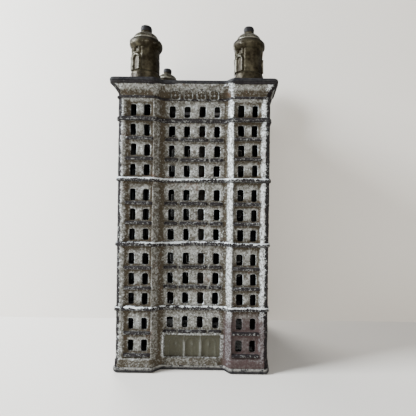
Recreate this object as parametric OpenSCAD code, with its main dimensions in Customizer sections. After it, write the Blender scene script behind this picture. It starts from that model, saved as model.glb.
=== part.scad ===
// Cast iron still bank: a square tower block of twelve storeys with four roof turrets.
// Four wall castings stand between a base plate and a roof plate, and one long screw
// runs from the roof down to a square nut in the base and clamps them together.
// Frame: +Z up, the front faces -Y, origin at the middle of the underside. Millimetres.

/* [Body] */
// Width of the body across the front, over its corner pilasters
body_w = 60; // [54:1:76]
// Depth of the body from front to rear, over its corner pilasters
body_d = 60; // [54:1:76]
// Thickness of a wall casting behind its sunk fields
wall_t = 2.2; // [1.8:0.1:2.8]
// Radius of the body's four upright corners
corner_r = 2; // [1:0.1:2.4]
// How far the middle bay stands back from the side bays
recess = 3; // [1.5:0.1:3.6]
// Gap along x or y that each wall leaves at its mitred ends
seam = 0.07; // [0.04:0.01:0.12]

/* [Side bays] */
// Width of the pilaster at each corner
pilaster_w = 2.5; // [2.4:0.1:3.2]
// Width of the slope from the corner pilaster down into the window field
field_slope_w = 1.1; // [0.6:0.1:1.4]
// Width of the sunk window field of a side bay
field_w = 10.1; // [9:0.1:12.5]
// Depth of the window field below the pilasters
field_sink = 0.8; // [0.5:0.1:1]
// Width of the ridge between the window field and the middle bay
ridge_w = 0.7; // [0.5:0.1:1.2]
// Width of the curve between a side bay and the middle bay
curve_w = 3.5; // [2.4:0.1:4]

/* [Storeys] */
// Number of storeys
storeys = 12; // [9:1:14]
// Height from one storey to the next
storey_h = 7.9; // [7.6:0.05:9.7]
// Extra height of the ground storey over the others
ground_extra = 0.7; // [0:0.1:1.5]
// Extra height above each group of storeys that a string course closes
course_gap = 1.7; // [1.4:0.05:2.5]
// Height of the lowest windows' middle above the underside
first_storey_z = 10.4; // [9.6:0.1:13]
// Width of a window
window_w = 2.5; // [1.9:0.05:2.9]
// Height of a window
window_h = 4.6; // [3.7:0.1:5.1]
// Distance between the two windows of a side bay
side_pitch = 5.45; // [4.9:0.05:6.4]
// Distance between the windows of the middle bay
mid_pitch = 6.05; // [5.2:0.05:6.1]

/* [Ledges] */
// Drop from a window's foot to the sill under it
sill_drop = 0.4; // [0.3:0.05:0.7]
// Height of a sill
sill_h = 1.45; // [0.9:0.05:1.5]
// How far a sill of a side bay stands proud of the pilasters
sill_proud = 0.2; // [0.05:0.05:0.3]
// How far a sill of the middle bay stands out of its field
mid_sill_out = 0.9; // [0.5:0.1:1.1]
// Gap between the three sills of the middle bay
sill_gap = 1.1; // [0.8:0.1:1.5]
// Height of a string course
course_h = 1.9; // [1.4:0.1:2.1]
// How far a string course stands proud of the pilasters
course_out = 0.5; // [0.3:0.1:0.8]
// Height of the plain band over the base plate
plinth_h = 2.9; // [2:0.1:3.2]
// How far the plain band stands proud of the pilasters
plinth_out = 0.3; // [0.1:0.1:0.6]

/* [Cornice and roof] */
// Height from the top storey's middle to the underside of the roof plate
cornice_zone_h = 10.3; // [8.6:0.05:12]
// Height of the cornice's spreading part
cornice_h = 4.4; // [3.4:0.1:4.6]
// How far the roof plate overhangs the pilasters
roof_out = 2.7; // [2:0.1:3.4]
// Thickness of the roof plate
roof_t = 1.6; // [1.3:0.1:2.4]
// Length of the coin slot
slot_l = 33; // [32:0.5:36]
// Width of the coin slot
slot_w = 4.6; // [4.4:0.1:5.2]
// Distance of the coin slot behind the roof's middle
slot_y = 12.5; // [11:0.5:14]

/* [Base] */
// Thickness of the base plate
base_t = 2.2; // [1.8:0.1:2.8]
// How far the base plate stands proud of the pilasters
base_out = 0.7; // [0.3:0.1:1]
// Height of the locating ribs on the base and roof plates
rib_h = 3; // [2:0.1:3.5]
// Thickness of the locating ribs
rib_t = 1.6; // [1.2:0.1:2]
// Length of the locating ribs
rib_l = 18; // [12:1:20]
// Clearance between the ribs or lugs and the walls inside
fit_gap = 0.25; // [0.15:0.05:0.4]

/* [Doorway] */
// Width of the doorway in the front wall
door_w = 20.6; // [17:0.1:22]
// Height of the doors
door_h = 7.9; // [6.4:0.1:8.2]
// Number of doors side by side
doors = 3; // [2:1:4]
// Depth of the doorway behind the middle bay
door_sink = 0.7; // [0.4:0.1:1]
// Thickness of the stile between two doors
stile_w = 1; // [0.7:0.1:1.4]
// Depth of each door's panel
panel_sink = 0.45; // [0.3:0.05:0.6]

/* [Turrets] */
// Height of a turret above the roof
turret_h = 25; // [25:0.5:32]
// Radius of a turret's drum
drum_r = 5.35; // [4.8:0.05:6]
// Radius of a turret's plinth
turret_plinth_r = 6.1; // [6.1:0.05:6.6]
// Radius of the ring under a turret's dome
ring_r = 6.7; // [6.5:0.05:7.4]
// Radius of the ball on top of a turret
ball_r = 2.25; // [1.8:0.05:2.5]
// Number of blind windows round a full turret
drum_windows = 8; // [6:1:9]

/* [Fasteners] */
// Diameter of the long tie screw
tie_d = 4.8; // [4:0.1:5.6]
// Diameter of the tie screw's head
tie_head_d = 9; // [8:0.1:11]
// Height of the tie screw's head
tie_head_h = 3; // [2.4:0.1:3.6]
// Width across the flats of the square nut
nut_w = 9.5; // [8.5:0.1:11]
// Thickness of the square nut
nut_t = 4; // [3.2:0.1:5]
// Diameter of the screw that holds each turret
turret_screw_d = 2.8; // [2.4:0.1:3.4]
// Length of that screw under its head
turret_screw_l = 9; // [7:0.5:11]

/* [Hidden] */

paint = [0.62, 0.61, 0.57];
bronze = [0.36, 0.31, 0.22];
iron = [0.12, 0.12, 0.13];
steel = [0.45, 0.44, 0.42];

courses_under = [2, 5, 8];
top_course_under = storeys - 1;
curve_steps = 8;
corner_steps = 4;

// Distances from the body's side plane to the features of a side bay
field_start = pilaster_w + field_slope_w;
field_end = field_start + field_w;
ridge_end = field_end + ridge_w;
bay_axis = field_start + field_w / 2;

inner_side = field_sink + wall_t;
inner_mid = recess + wall_t;

function extra_courses(i) = len([for (c = courses_under) if (c <= i) c]);
function storey_z(i) =
  first_storey_z + i * storey_h + (i > 0 ? ground_extra : 0) + extra_courses(i) * course_gap;
function has_course(i) = len([for (c = courses_under) if (c == i) c]) > 0 || i == top_course_under;

door_z = base_t + plinth_h;
roof_z = storey_z(storeys - 1) + cornice_zone_h;
roof_top = roof_z + roof_t;

// Screw sizes that follow from the parts it joins
screw_gap = 0.05;
pocket_gap = 0.15;
seat_t = 2;
nut_z = 0.1;
pocket_h = nut_z + nut_t + 0.05;
boss_h = pocket_h + seat_t;
boss_w = nut_w + 6;
tie_end_z = nut_z + 0.3;
hole_clearance = 0.25;
tie_slot_w = 1.2;

// Turret levels above the roof, and the screw that enters from below
plinth_top = 4.6;
ledge_z = 11.5;
ledge_h = 0.8;
ledge_out = 0.4;
ring_h = 4.5;
dome_r = 5.1;
dome_h = 3.5;
neck_r = 1.85;
neck_h = 0.4;
ball_h = 2.8;
dome_z = turret_h - ball_h - neck_h - dome_h * sqrt(1 - pow(neck_r / dome_r, 2));
ring_z = dome_z - ring_h / 2;
window_sink = 0.6;
small_window_w = 2.3;
small_head_d = 5.2;
small_head_h = 1.7;

// ---------------------------------------------------------------- plan outlines
function smooth(t) = t * t * (3 - 2 * t);

// Left half of a wall's outer line, from the mitre to the middle bay.
// len: wall length; out: how far the line is pushed outwards; sink: field depth.
function half_line(length, out, sink, gap) = concat(
  [for (k = [0 : corner_steps])
    let (a = 225 + 45 * k / corner_steps)
    [-length / 2 - out + corner_r * (1 + cos(a)) + (k == 0 ? gap : 0),
     -out + corner_r * (1 + sin(a))]],
  [[-length / 2 + pilaster_w, -out]],
  sink > 0 ? [
    [-length / 2 + field_start, sink - out],
    [-length / 2 + field_end, sink - out]
  ] : [],
  [for (k = [0 : curve_steps])
    [-length / 2 + ridge_end + curve_w * k / curve_steps,
     recess * smooth(k / curve_steps) - out]]
);

function mirrored(points) = [for (i = [len(points) - 1 : -1 : 0]) [-points[i][0], points[i][1]]];
function outer_line(length, out, sink, gap) =
  let (half = half_line(length, out, sink, gap)) concat(half, mirrored(half));

// Inner face of a wall, from its right end to its left end.
function inner_half(length) = concat(
  [[length / 2 - inner_side - seam, inner_side]],
  [for (k = [0 : curve_steps])
    [length / 2 - ridge_end - curve_w * k / curve_steps,
     inner_side + (inner_mid - inner_side) * smooth(k / curve_steps)]]
);
function inner_line(length) = let (half = inner_half(length)) concat(half, mirrored(half));

function wall_plan(length, out, sink) =
  concat(outer_line(length, out, sink, seam), inner_line(length));

// One side of a plate's closed outline, turned to face its own direction.
function turned(points, quarter, reach) =
  [for (p = points)
    let (x = p[0], y = p[1] - reach)
    quarter == 0 ? [x, y] : quarter == 1 ? [-y, x] : quarter == 2 ? [-x, -y] : [y, -x]];
function plate_line(out) = concat(
  turned(outer_line(body_w, out, 0, 0), 0, body_d / 2),
  turned(outer_line(body_d, out, 0, 0), 1, body_w / 2),
  turned(outer_line(body_w, out, 0, 0), 2, body_d / 2),
  turned(outer_line(body_d, out, 0, 0), 3, body_w / 2)
);

// ---------------------------------------------------------------- wall castings
// A wall is drawn with its outer plane on y = 0 and its inside towards +y.
module band(length, z0, z1, out, sink) {
  translate([0, 0, z0])
    linear_extrude(height = z1 - z0)
      polygon(wall_plan(length, out, sink));
}

module window_cuts(length, low_mid) {
  bay_x = length / 2 - bay_axis;
  for (i = [0 : storeys - 1]) {
    for (x = [-bay_x - side_pitch / 2, -bay_x + side_pitch / 2,
              bay_x - side_pitch / 2, bay_x + side_pitch / 2])
      translate([x - window_w / 2, -5, storey_z(i) - window_h / 2])
        cube([window_w, 14, window_h]);
    if (i >= low_mid)
      for (k = [-1.5 : 1 : 1.5])
        translate([k * mid_pitch - window_w / 2, -5, storey_z(i) - window_h / 2])
          cube([window_w, 14, window_h]);
  }
}

module sills(length, low_mid) {
  bay_x = length / 2 - bay_axis;
  side_l = field_w + ridge_w;
  outer_l = mid_pitch - sill_gap;
  middle_l = 2 * mid_pitch - sill_gap;
  for (i = [0 : storeys - 1]) {
    z = storey_z(i) - window_h / 2 - sill_drop - sill_h;
    if (!has_course(i)) {
      for (s = [-1, 1])
        translate([s * bay_x - side_l / 2, -sill_proud, z])
          cube([side_l, field_sink + sill_proud + wall_t / 2, sill_h]);
      if (i >= low_mid) {
        for (s = [-1, 1])
          translate([s * 1.5 * mid_pitch - outer_l / 2, recess - mid_sill_out, z])
            cube([outer_l, mid_sill_out + wall_t / 2, sill_h]);
        translate([-middle_l / 2, recess - mid_sill_out, z])
          cube([middle_l, mid_sill_out + wall_t / 2, sill_h]);
      }
    }
  }
}

module courses(length) {
  for (i = [0 : storeys - 1])
    if (has_course(i)) {
      top = storey_z(i) - window_h / 2 - sill_drop;
      band(length, top - course_h, top, course_out, 0);
    }
}

// The cornice spreads in steps whose outer edges lie on a hollow curve.
module cornice(length) {
  steps = 4;
  band(length, roof_z - cornice_h - 1.8, roof_z - cornice_h - 0.7, course_out, 0);
  for (k = [0 : steps - 1]) {
    out = (roof_out - 0.2) * (1 - cos(90 * (k + 1) / steps)) + 0.1;
    band(length, roof_z - cornice_h * (1 - k / steps),
         roof_z - cornice_h * (1 - (k + 1) / steps), out, 0);
  }
}

module plain_wall(length, low_mid) {
  difference() {
    union() {
      band(length, base_t, roof_z, 0, field_sink);
      band(length, base_t, base_t + plinth_h, plinth_out, 0);
      courses(length);
      cornice(length);
      sills(length, low_mid);
    }
    window_cuts(length, low_mid);
  }
}

// Lugs inside the front and rear walls, which the side walls bear against.
module lugs(length) {
  lug_t = 2.4;
  lug_reach = 5;
  lug_h = storey_h + course_gap - window_h - 1;
  for (i = [courses_under[0], courses_under[2]], s = [-1, 1]) {
    z = (storey_z(i) + storey_z(i - 1)) / 2;
    x = length / 2 - inner_side - fit_gap - lug_t / 2;
    translate([s * x - lug_t / 2, inner_side - wall_t / 2, z - lug_h / 2])
      cube([lug_t, lug_reach + wall_t / 2, lug_h]);
  }
}

// A sunk doorway with a row of arched doors, and a step below them.
module doorway_cut() {
  pitch = (door_w - stile_w) / doors;
  translate([-door_w / 2 - stile_w, recess - 3, door_z])
    cube([door_w + 2 * stile_w, 3 + door_sink, door_h + stile_w]);
  for (k = [0 : doors - 1]) {
    x = (k - (doors - 1) / 2) * pitch;
    leaf_w = pitch - stile_w;
    arch_r = leaf_w / 2;
    for (s = [-1, 1])
      translate([x + s * leaf_w / 4 - leaf_w / 4 + 0.15, recess - 1, door_z])
        cube([leaf_w / 2 - 0.3, 1 + door_sink + panel_sink, door_h - arch_r]);
    translate([x, recess - 1, door_z + door_h - arch_r])
      intersection() {
        rotate([-90, 0, 0])
          cylinder(r = arch_r - 0.15, h = 1 + door_sink + panel_sink, $fn = 48);
        translate([-arch_r, 0, 0])
          cube([leaf_w, 3, arch_r]);
      }
  }
}

module door_step() {
  translate([-door_w / 2, recess - mid_sill_out, base_t])
    cube([door_w, mid_sill_out + wall_t / 2, plinth_h]);
}

// A row of four raised square rosettes where a sign would be.
module frieze() {
  count = 4;
  rosette = 4.2;
  pitch = rosette + 1;
  z = roof_z - cornice_h / 2 - rosette / 2;
  out = 1.2;
  for (k = [0 : count - 1]) {
    x = (k - (count - 1) / 2) * pitch;
    translate([x, recess + wall_t / 2, z])
      rotate([90, 0, 0]) {
        difference() {
          translate([-rosette / 2, -rosette / 2, 0])
            cube([rosette, rosette, wall_t / 2 + out]);
          translate([-rosette / 2 + 0.6, -rosette / 2 + 0.6, wall_t / 2])
            cube([rosette - 1.2, rosette - 1.2, out + 1]);
        }
        cylinder(r = rosette / 4, h = wall_t / 2 + out, $fn = 32);
      }
  }
}

module front_wall() {
  color(paint)
    translate([0, -body_d / 2, 0])
      difference() {
        union() {
          plain_wall(body_w, 1);
          lugs(body_w);
          frieze();
          door_step();
        }
        doorway_cut();
      }
}

module rear_wall() {
  color(paint)
    rotate([0, 0, 180])
      translate([0, -body_d / 2, 0]) {
        plain_wall(body_w, 0);
        lugs(body_w);
      }
}

module left_wall() {
  color(paint)
    rotate([0, 0, -90])
      translate([0, -body_w / 2, 0])
        plain_wall(body_d, 0);
}

module right_wall() {
  color(paint)
    rotate([0, 0, 90])
      translate([0, -body_w / 2, 0])
        plain_wall(body_d, 0);
}

// ---------------------------------------------------------------- plates
module ribs(z) {
  for (s = [-1, 1]) {
    y = body_d / 2 - inner_mid - fit_gap - rib_t / 2;
    translate([-rib_l / 2, s * y - rib_t / 2, z])
      cube([rib_l, rib_t, rib_h]);
    x = body_w / 2 - inner_mid - fit_gap - rib_t / 2;
    translate([s * x - rib_t / 2, -rib_l / 2, z])
      cube([rib_t, rib_l, rib_h]);
  }
}

turret_x = body_w / 2 - bay_axis;
turret_y = body_d / 2 - bay_axis;

module roof_plate() {
  color(iron)
    difference() {
      union() {
        translate([0, 0, roof_z])
          linear_extrude(height = roof_t)
            polygon(plate_line(roof_out));
        ribs(roof_z - rib_h);
      }
      translate([-slot_l / 2, slot_y - slot_w / 2, roof_z - rib_h - 1])
        cube([slot_l, slot_w, roof_t + rib_h + 2]);
      translate([0, 0, roof_z - 1])
        cylinder(d = tie_d + 2 * hole_clearance, h = roof_t + 2, $fn = 48);
      for (sx = [-1, 1], sy = [-1, 1])
        translate([sx * turret_x, sy * turret_y, roof_z - 1])
          cylinder(d = turret_screw_d + 2 * hole_clearance, h = roof_t + 2, $fn = 32);
    }
}

module base_plate() {
  color(iron)
    difference() {
      union() {
        linear_extrude(height = base_t)
          polygon(plate_line(base_out));
        ribs(base_t);
        translate([-boss_w / 2, -boss_w / 2, 0])
          cube([boss_w, boss_w, boss_h]);
      }
      translate([-nut_w / 2 - pocket_gap, -nut_w / 2 - pocket_gap, -1])
        cube([nut_w + 2 * pocket_gap, nut_w + 2 * pocket_gap, pocket_h + 1]);
      cylinder(d = tie_d + 2 * hole_clearance, h = boss_h + 1, $fn = 48);
    }
}

// ---------------------------------------------------------------- turrets
// Radius against height: plinth, drum with a ledge, swelling ring, dome, neck and ball.
turret_profile = concat(
  [[0, 0], [turret_plinth_r, 0], [turret_plinth_r, plinth_top],
   [drum_r, plinth_top + 0.8], [drum_r, ledge_z],
   [drum_r + ledge_out, ledge_z + 0.2], [drum_r + ledge_out, ledge_z + ledge_h - 0.2],
   [drum_r, ledge_z + ledge_h]],
  [for (k = [0 : 10])
    let (a = -90 + 18 * k)
    [dome_r + (ring_r - dome_r) * cos(a), ring_z + ring_h / 2 * sin(a)]],
  [for (k = [1 : 8])
    let (a = k * acos(neck_r / dome_r) / 8)
    [dome_r * cos(a), dome_z + dome_h * sin(a)]],
  [[neck_r, turret_h - ball_h], [ball_r, turret_h - ball_h + 0.5],
   [ball_r, turret_h - 1]],
  [for (k = [1 : 4])
    let (a = k * 90 / 4)
    [ball_r * cos(a), turret_h - 1 + sin(a)]]
);

// The blind windows leave a plain stretch, as wide as some windows, where the mould parts.
module turret(turn, plain) {
  depth = 4;
  color(bronze)
    translate([0, 0, roof_top])
      rotate([0, 0, turn])
        difference() {
          rotate_extrude($fn = 64)
            polygon(turret_profile);
          for (k = [0 : drum_windows - 1 - plain])
            rotate([0, 0, k * 360 / drum_windows]) {
              translate([drum_r - window_sink, -small_window_w / 2, plinth_top + 1.2])
                cube([depth, small_window_w, ledge_z - plinth_top - 1.8]);
              translate([drum_r - window_sink, -small_window_w / 2, ledge_z + ledge_h + 0.3])
                cube([depth, small_window_w, ring_z - ring_h / 2 - ledge_z - ledge_h - 0.4]);
            }
          translate([0, 0, -1])
            cylinder(d = turret_screw_d + 2 * screw_gap,
                     h = turret_screw_l - roof_t + 2, $fn = 32);
        }
}

module turret_front_left() {
  translate([-turret_x, -turret_y, 0]) turret(60, 3);
}
module turret_front_right() {
  translate([turret_x, -turret_y, 0]) turret(0, 2);
}
module turret_rear_left() {
  translate([-turret_x, turret_y, 0]) turret(90, 2);
}
module turret_rear_right() {
  translate([turret_x, turret_y, 0]) turret(30, 2);
}

// ---------------------------------------------------------------- fasteners
module turret_screws() {
  color(steel)
    for (sx = [-1, 1], sy = [-1, 1])
      translate([sx * turret_x, sy * turret_y, roof_z])
        difference() {
          union() {
            cylinder(d = turret_screw_d, h = turret_screw_l, $fn = 32);
            translate([0, 0, -small_head_h])
              cylinder(d = small_head_d, h = small_head_h, $fn = 40);
          }
          translate([-small_head_d, -0.4, -small_head_h - 1])
            cube([2 * small_head_d, 0.8, 1.8]);
        }
}

module tie_screw() {
  cap_r = (pow(tie_head_d / 2, 2) + pow(tie_head_h, 2)) / (2 * tie_head_h);
  color(steel)
    difference() {
      union() {
        translate([0, 0, tie_end_z])
          cylinder(d = tie_d, h = roof_top - tie_end_z + 1, $fn = 48);
        translate([0, 0, roof_top])
          intersection() {
            cylinder(d = tie_head_d, h = tie_head_h, $fn = 64);
            translate([0, 0, tie_head_h - cap_r])
              sphere(r = cap_r, $fn = 64);
          }
      }
      translate([-tie_head_d, -tie_slot_w / 2, roof_top + tie_head_h / 2])
        cube([2 * tie_head_d, tie_slot_w, tie_head_h]);
    }
}

module tie_nut() {
  color(steel)
    difference() {
      translate([-nut_w / 2, -nut_w / 2, nut_z])
        cube([nut_w, nut_w, nut_t]);
      cylinder(d = tie_d + 2 * screw_gap, h = nut_t + 2, $fn = 48);
    }
}

front_wall();
rear_wall();
left_wall();
right_wall();
roof_plate();
base_plate();
turret_front_left();
turret_front_right();
turret_rear_left();
turret_rear_right();
turret_screws();
tie_screw();
tie_nut();
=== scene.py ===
"""Looks of a cast iron still bank: a twelve-storey tower block with four roof turrets.

The CAD frame gives every place and size. Each casting is rebuilt here as a soft-edged,
slightly uneven surface with pierced windows, in the CAD frame, +Z up, front towards -Y.
Lengths inside the classes are millimetres; meshes are written in metres.
"""

import logging
import math
from dataclasses import dataclass, field
from enum import Enum

import bpy
import numpy as np
from mathutils import Matrix, Vector


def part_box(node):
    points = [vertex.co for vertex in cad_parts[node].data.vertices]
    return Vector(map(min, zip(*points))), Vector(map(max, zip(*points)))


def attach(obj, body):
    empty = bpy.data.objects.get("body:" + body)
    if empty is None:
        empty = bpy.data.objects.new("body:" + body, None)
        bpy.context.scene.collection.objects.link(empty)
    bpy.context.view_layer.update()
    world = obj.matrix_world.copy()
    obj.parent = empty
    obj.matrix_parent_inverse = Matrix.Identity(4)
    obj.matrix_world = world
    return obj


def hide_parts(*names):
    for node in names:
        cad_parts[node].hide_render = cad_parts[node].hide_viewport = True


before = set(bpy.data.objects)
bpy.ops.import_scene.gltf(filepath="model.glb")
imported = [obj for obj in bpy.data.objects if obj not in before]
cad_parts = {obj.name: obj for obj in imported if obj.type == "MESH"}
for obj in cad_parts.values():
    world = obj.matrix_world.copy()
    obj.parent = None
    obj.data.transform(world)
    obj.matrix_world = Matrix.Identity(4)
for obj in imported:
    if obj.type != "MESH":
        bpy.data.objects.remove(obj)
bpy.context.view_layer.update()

LOG = logging.getLogger("still_bank")
MM = 0.001
SEED = 7
SHARP_DEG = 48.0
TIP_R = 0.02
RING_SIDES = 64
FULL_TURN = 2 * math.pi
CASE = "case"
BASE = "base"
SCREW = "tie_screw"


# --------------------------------------------------------------------------- noise and soft steps
def hash_lattice(ix: np.ndarray, iy: np.ndarray, iz: np.ndarray, seed: int) -> np.ndarray:
    """Returns a repeatable value in -1..1 for each whole-number lattice point.

    Formula: the three indices and the seed are mixed by multiplying with large odd
    numbers and xor-ing, and the low bits are read as a fraction.

    Args:
        ix: Lattice index along x.
        iy: Lattice index along y.
        iz: Lattice index along z.
        seed: Number of the random pattern.

    Returns:
        Array of the same shape with values from -1 to 1.
    """
    mixed = (ix * 374761393 + iy * 668265263 + iz * 2147483647 + seed * 144269504) & 0xFFFFFFFF
    mixed = ((mixed ^ (mixed >> 13)) * 1274126177) & 0xFFFFFFFF
    mixed = mixed ^ (mixed >> 16)
    return (mixed & 0xFFFF) / 32767.5 - 1.0


def noise3(points: np.ndarray, wavelength: float, seed: int) -> np.ndarray:
    """Returns smooth value noise in about -1..1 at each point.

    Formula: the lattice values at the eight corners of a point's cell are blended with
    weights 3t^2 - 2t^3 along each axis.

    Args:
        points: Array (..., 3) in millimetres.
        wavelength: Size of a lattice cell in millimetres.
        seed: Number of the random pattern.

    Returns:
        Array (...) of noise values.
    """
    scaled = points / wavelength
    cell = np.floor(scaled).astype(np.int64)
    part = scaled - cell
    part = part * part * (3.0 - 2.0 * part)
    total = np.zeros(points.shape[:-1])
    for dx in (0, 1):
        for dy in (0, 1):
            for dz in (0, 1):
                weight = (
                    (part[..., 0] if dx else 1.0 - part[..., 0])
                    * (part[..., 1] if dy else 1.0 - part[..., 1])
                    * (part[..., 2] if dz else 1.0 - part[..., 2])
                )
                total += weight * hash_lattice(cell[..., 0] + dx, cell[..., 1] + dy, cell[..., 2] + dz, seed)
    return total


def smooth01(t: np.ndarray) -> np.ndarray:
    """Returns 3t^2 - 2t^3 with t held between 0 and 1."""
    t = np.clip(t, 0.0, 1.0)
    return t * t * (3.0 - 2.0 * t)


def plateau(value: np.ndarray, low: float, high: float, soft: float) -> np.ndarray:
    """Returns 1 between low and high, falling softly to 0 over the distance soft outside."""
    return smooth01((value - low) / soft + 1.0) * smooth01((high - value) / soft + 1.0)


def lines_through(hard: list[float], soft: list[float], low: float, high: float, gap: float,
                  least: float = 0.05) -> np.ndarray:
    """Returns the sorted grid lines of one direction.

    Hard lines are always kept; a soft line nearer than least to another line is dropped;
    gaps wider than gap are filled evenly.

    Args:
        hard: Positions that must be grid lines.
        soft: Positions that should be grid lines if there is room.
        low: First line.
        high: Last line.
        gap: Widest distance allowed between lines.
        least: Narrowest distance allowed between lines.

    Returns:
        The lines' positions in rising order.
    """
    kept = sorted({low, high, *[h for h in hard if low < h < high]})
    for value in sorted(s for s in soft if low < s < high):
        if min(abs(value - k) for k in kept) >= least:
            kept.append(value)
    kept = np.array(sorted(kept))
    filled = [kept[:1]]
    for start, end in zip(kept[:-1], kept[1:]):
        pieces = max(1, math.ceil((end - start) / gap))
        filled.append(start + (end - start) * np.arange(1, pieces + 1) / pieces)
    return np.concatenate(filled)


# --------------------------------------------------------------------------- mesh building
@dataclass
class Shell:
    """Vertices, quads and per-vertex values of one piece, gathered block by block."""

    points: list[np.ndarray] = field(default_factory=list)
    quads: list[np.ndarray] = field(default_factory=list)
    values: dict[str, list[np.ndarray]] = field(default_factory=dict)
    count: int = 0
    turn: float = 0.0

    def add(self, points: np.ndarray, quads: np.ndarray, **values: np.ndarray) -> None:
        """Adds a block, turned so that its faces point outwards.

        Args:
            points: Array (n, 3) in millimetres.
            quads: Array (m, 4) of indices into points.
            values: Per-vertex numbers by attribute name; a missing one is 0.
        """
        corner = points[quads]
        centre = points.mean(axis=0)
        cross_a = np.cross(corner[:, 1] - corner[:, 0], corner[:, 2] - corner[:, 0])
        cross_b = np.cross(corner[:, 2] - corner[:, 0], corner[:, 3] - corner[:, 0])
        volume = np.sum((corner[:, 0] - centre) * (cross_a + cross_b))
        if volume < 0.0:
            quads = quads[:, ::-1]
        self.points.append(points)
        self.quads.append(quads + self.count)
        for name in sorted(set(values) | set(self.values)):
            blocks = self.values.setdefault(name, [np.zeros(self.count)])
            blocks.append(np.broadcast_to(values.get(name, 0.0), (len(points),)).astype(float))
        self.count += len(points)

    def make(self, name: str) -> bpy.types.Object:
        """Writes the gathered blocks into a new object at the origin.

        Args:
            name: The object's name.

        Returns:
            The linked object.
        """
        points = turned_about_z(np.concatenate(self.points), self.turn) * MM
        quads = np.concatenate(self.quads)
        used, inverse = np.unique(quads, return_inverse=True)
        quads = inverse.reshape(quads.shape)
        mesh = bpy.data.meshes.new(name)
        mesh.vertices.add(len(used))
        mesh.vertices.foreach_set("co", points[used].astype(np.float32).ravel())
        mesh.loops.add(quads.size)
        mesh.loops.foreach_set("vertex_index", quads.astype(np.int32).ravel())
        mesh.polygons.add(len(quads))
        mesh.polygons.foreach_set("loop_start", np.arange(0, quads.size, 4, dtype=np.int32))
        mesh.update(calc_edges=True)
        for key, blocks in self.values.items():
            column = mesh.attributes.new(key, "FLOAT", "POINT")
            column.data.foreach_set("value", np.concatenate(blocks)[used].astype(np.float32))
        mesh.polygons.foreach_set("use_smooth", np.ones(len(quads), dtype=bool))
        mesh.set_sharp_from_angle(angle=math.radians(SHARP_DEG))
        mesh.validate()
        piece = bpy.data.objects.new(name, mesh)
        bpy.context.scene.collection.objects.link(piece)
        return piece


def grid_quads(rows: int, columns: int, wrap_rows: bool = False,
               wrap_columns: bool = False) -> np.ndarray:
    """Returns the quads of a grid of vertices numbered row by row.

    Args:
        rows: Number of rows of vertices.
        columns: Number of columns of vertices.
        wrap_rows: True if the last row joins back to the first.
        wrap_columns: True if the last column joins back to the first.

    Returns:
        Array (m, 4) of vertex numbers.
    """
    index = np.arange(rows * columns).reshape(rows, columns)
    if wrap_rows:
        index = np.vstack([index, index[:1]])
    if wrap_columns:
        index = np.hstack([index, index[:, :1]])
    return np.stack(
        [index[:-1, :-1], index[:-1, 1:], index[1:, 1:], index[1:, :-1]], axis=-1
    ).reshape(-1, 4)


def turned_about_z(points: np.ndarray, degrees: float) -> np.ndarray:
    """Returns points turned about the Z axis by an angle."""
    a = math.radians(degrees)
    turn = np.array([[math.cos(a), math.sin(a), 0.0], [-math.sin(a), math.cos(a), 0.0], [0.0, 0.0, 1.0]])
    return points @ turn


def flat_place(u: np.ndarray, z: np.ndarray) -> np.ndarray:
    """Returns the points (u, 0, z) that a wall's noise is read at."""
    return np.stack([u, np.zeros_like(u), z], axis=-1)


def level_loop(flat: np.ndarray, level: float) -> np.ndarray:
    """Returns a loop of (x, y) points as 3-D points at one level."""
    return np.column_stack([flat, np.full(len(flat), level)])


def rays(count: int) -> tuple[np.ndarray, np.ndarray]:
    """Returns (x, y) directions evenly round a circle, and the same pushed out to a unit square."""
    angle = np.linspace(0.0, FULL_TURN, count, endpoint=False)
    ray = np.column_stack([np.cos(angle), np.sin(angle)])
    return ray, ray / np.abs(ray).max(axis=1, keepdims=True) * 0.5


def cap_quads(first: int, count: int) -> np.ndarray:
    """Returns quads that close a loop of count vertices numbered from first."""
    k = np.arange(count // 2 - 1)
    return np.stack([first + k, first + k + 1, first + count - 2 - k, first + count - 1 - k], axis=1)


def ring_loft(loops: list[np.ndarray], closed: bool) -> tuple[np.ndarray, np.ndarray]:
    """Joins closed loops of equal length into a skin.

    Args:
        loops: Arrays (n, 3), each a closed loop of points that match one to one.
        closed: True if the last loop joins back to the first, as on a ring.

    Returns:
        Points (rows * n, 3) and quads.
    """
    stack = np.stack(loops)
    quads = grid_quads(stack.shape[0], stack.shape[1], wrap_rows=closed, wrap_columns=True)
    return stack.reshape(-1, 3), quads


# --------------------------------------------------------------------------- shader expressions
class Value:
    """A shader socket that takes part in Python expressions."""

    def __init__(self, tree: "NodeBook", socket: bpy.types.NodeSocket) -> None:
        """Keeps the socket and the tree that it belongs to."""
        self.tree = tree
        self.socket = socket

    def _math(self, operation: str, *terms: "Value | float") -> "Value":
        """Returns a Math node's result on these terms."""
        return self.tree.node("ShaderNodeMath", {"operation": operation}, dict(enumerate(terms)))

    def __add__(self, other: "Value | float") -> "Value":
        """Returns self + other."""
        return self._math("ADD", self, other)

    def __radd__(self, other: "Value | float") -> "Value":
        """Returns other + self."""
        return self._math("ADD", other, self)

    def __sub__(self, other: "Value | float") -> "Value":
        """Returns self - other."""
        return self._math("SUBTRACT", self, other)

    def __rsub__(self, other: "Value | float") -> "Value":
        """Returns other - self."""
        return self._math("SUBTRACT", other, self)

    def __mul__(self, other: "Value | float") -> "Value":
        """Returns self * other."""
        return self._math("MULTIPLY", self, other)

    def __rmul__(self, other: "Value | float") -> "Value":
        """Returns other * self."""
        return self._math("MULTIPLY", other, self)

    def clamp(self) -> "Value":
        """Returns the value held between 0 and 1."""
        return self.tree.node("ShaderNodeClamp", {}, {0: self})

    def step(self, low: float, high: float) -> "Value":
        """Returns a soft step from 0 at low to 1 at high."""
        return self.tree.node(
            "ShaderNodeMapRange", {"interpolation_type": "SMOOTHSTEP"},
            {0: self, 1: low, 2: high, 3: 0.0, 4: 1.0},
        )


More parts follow.
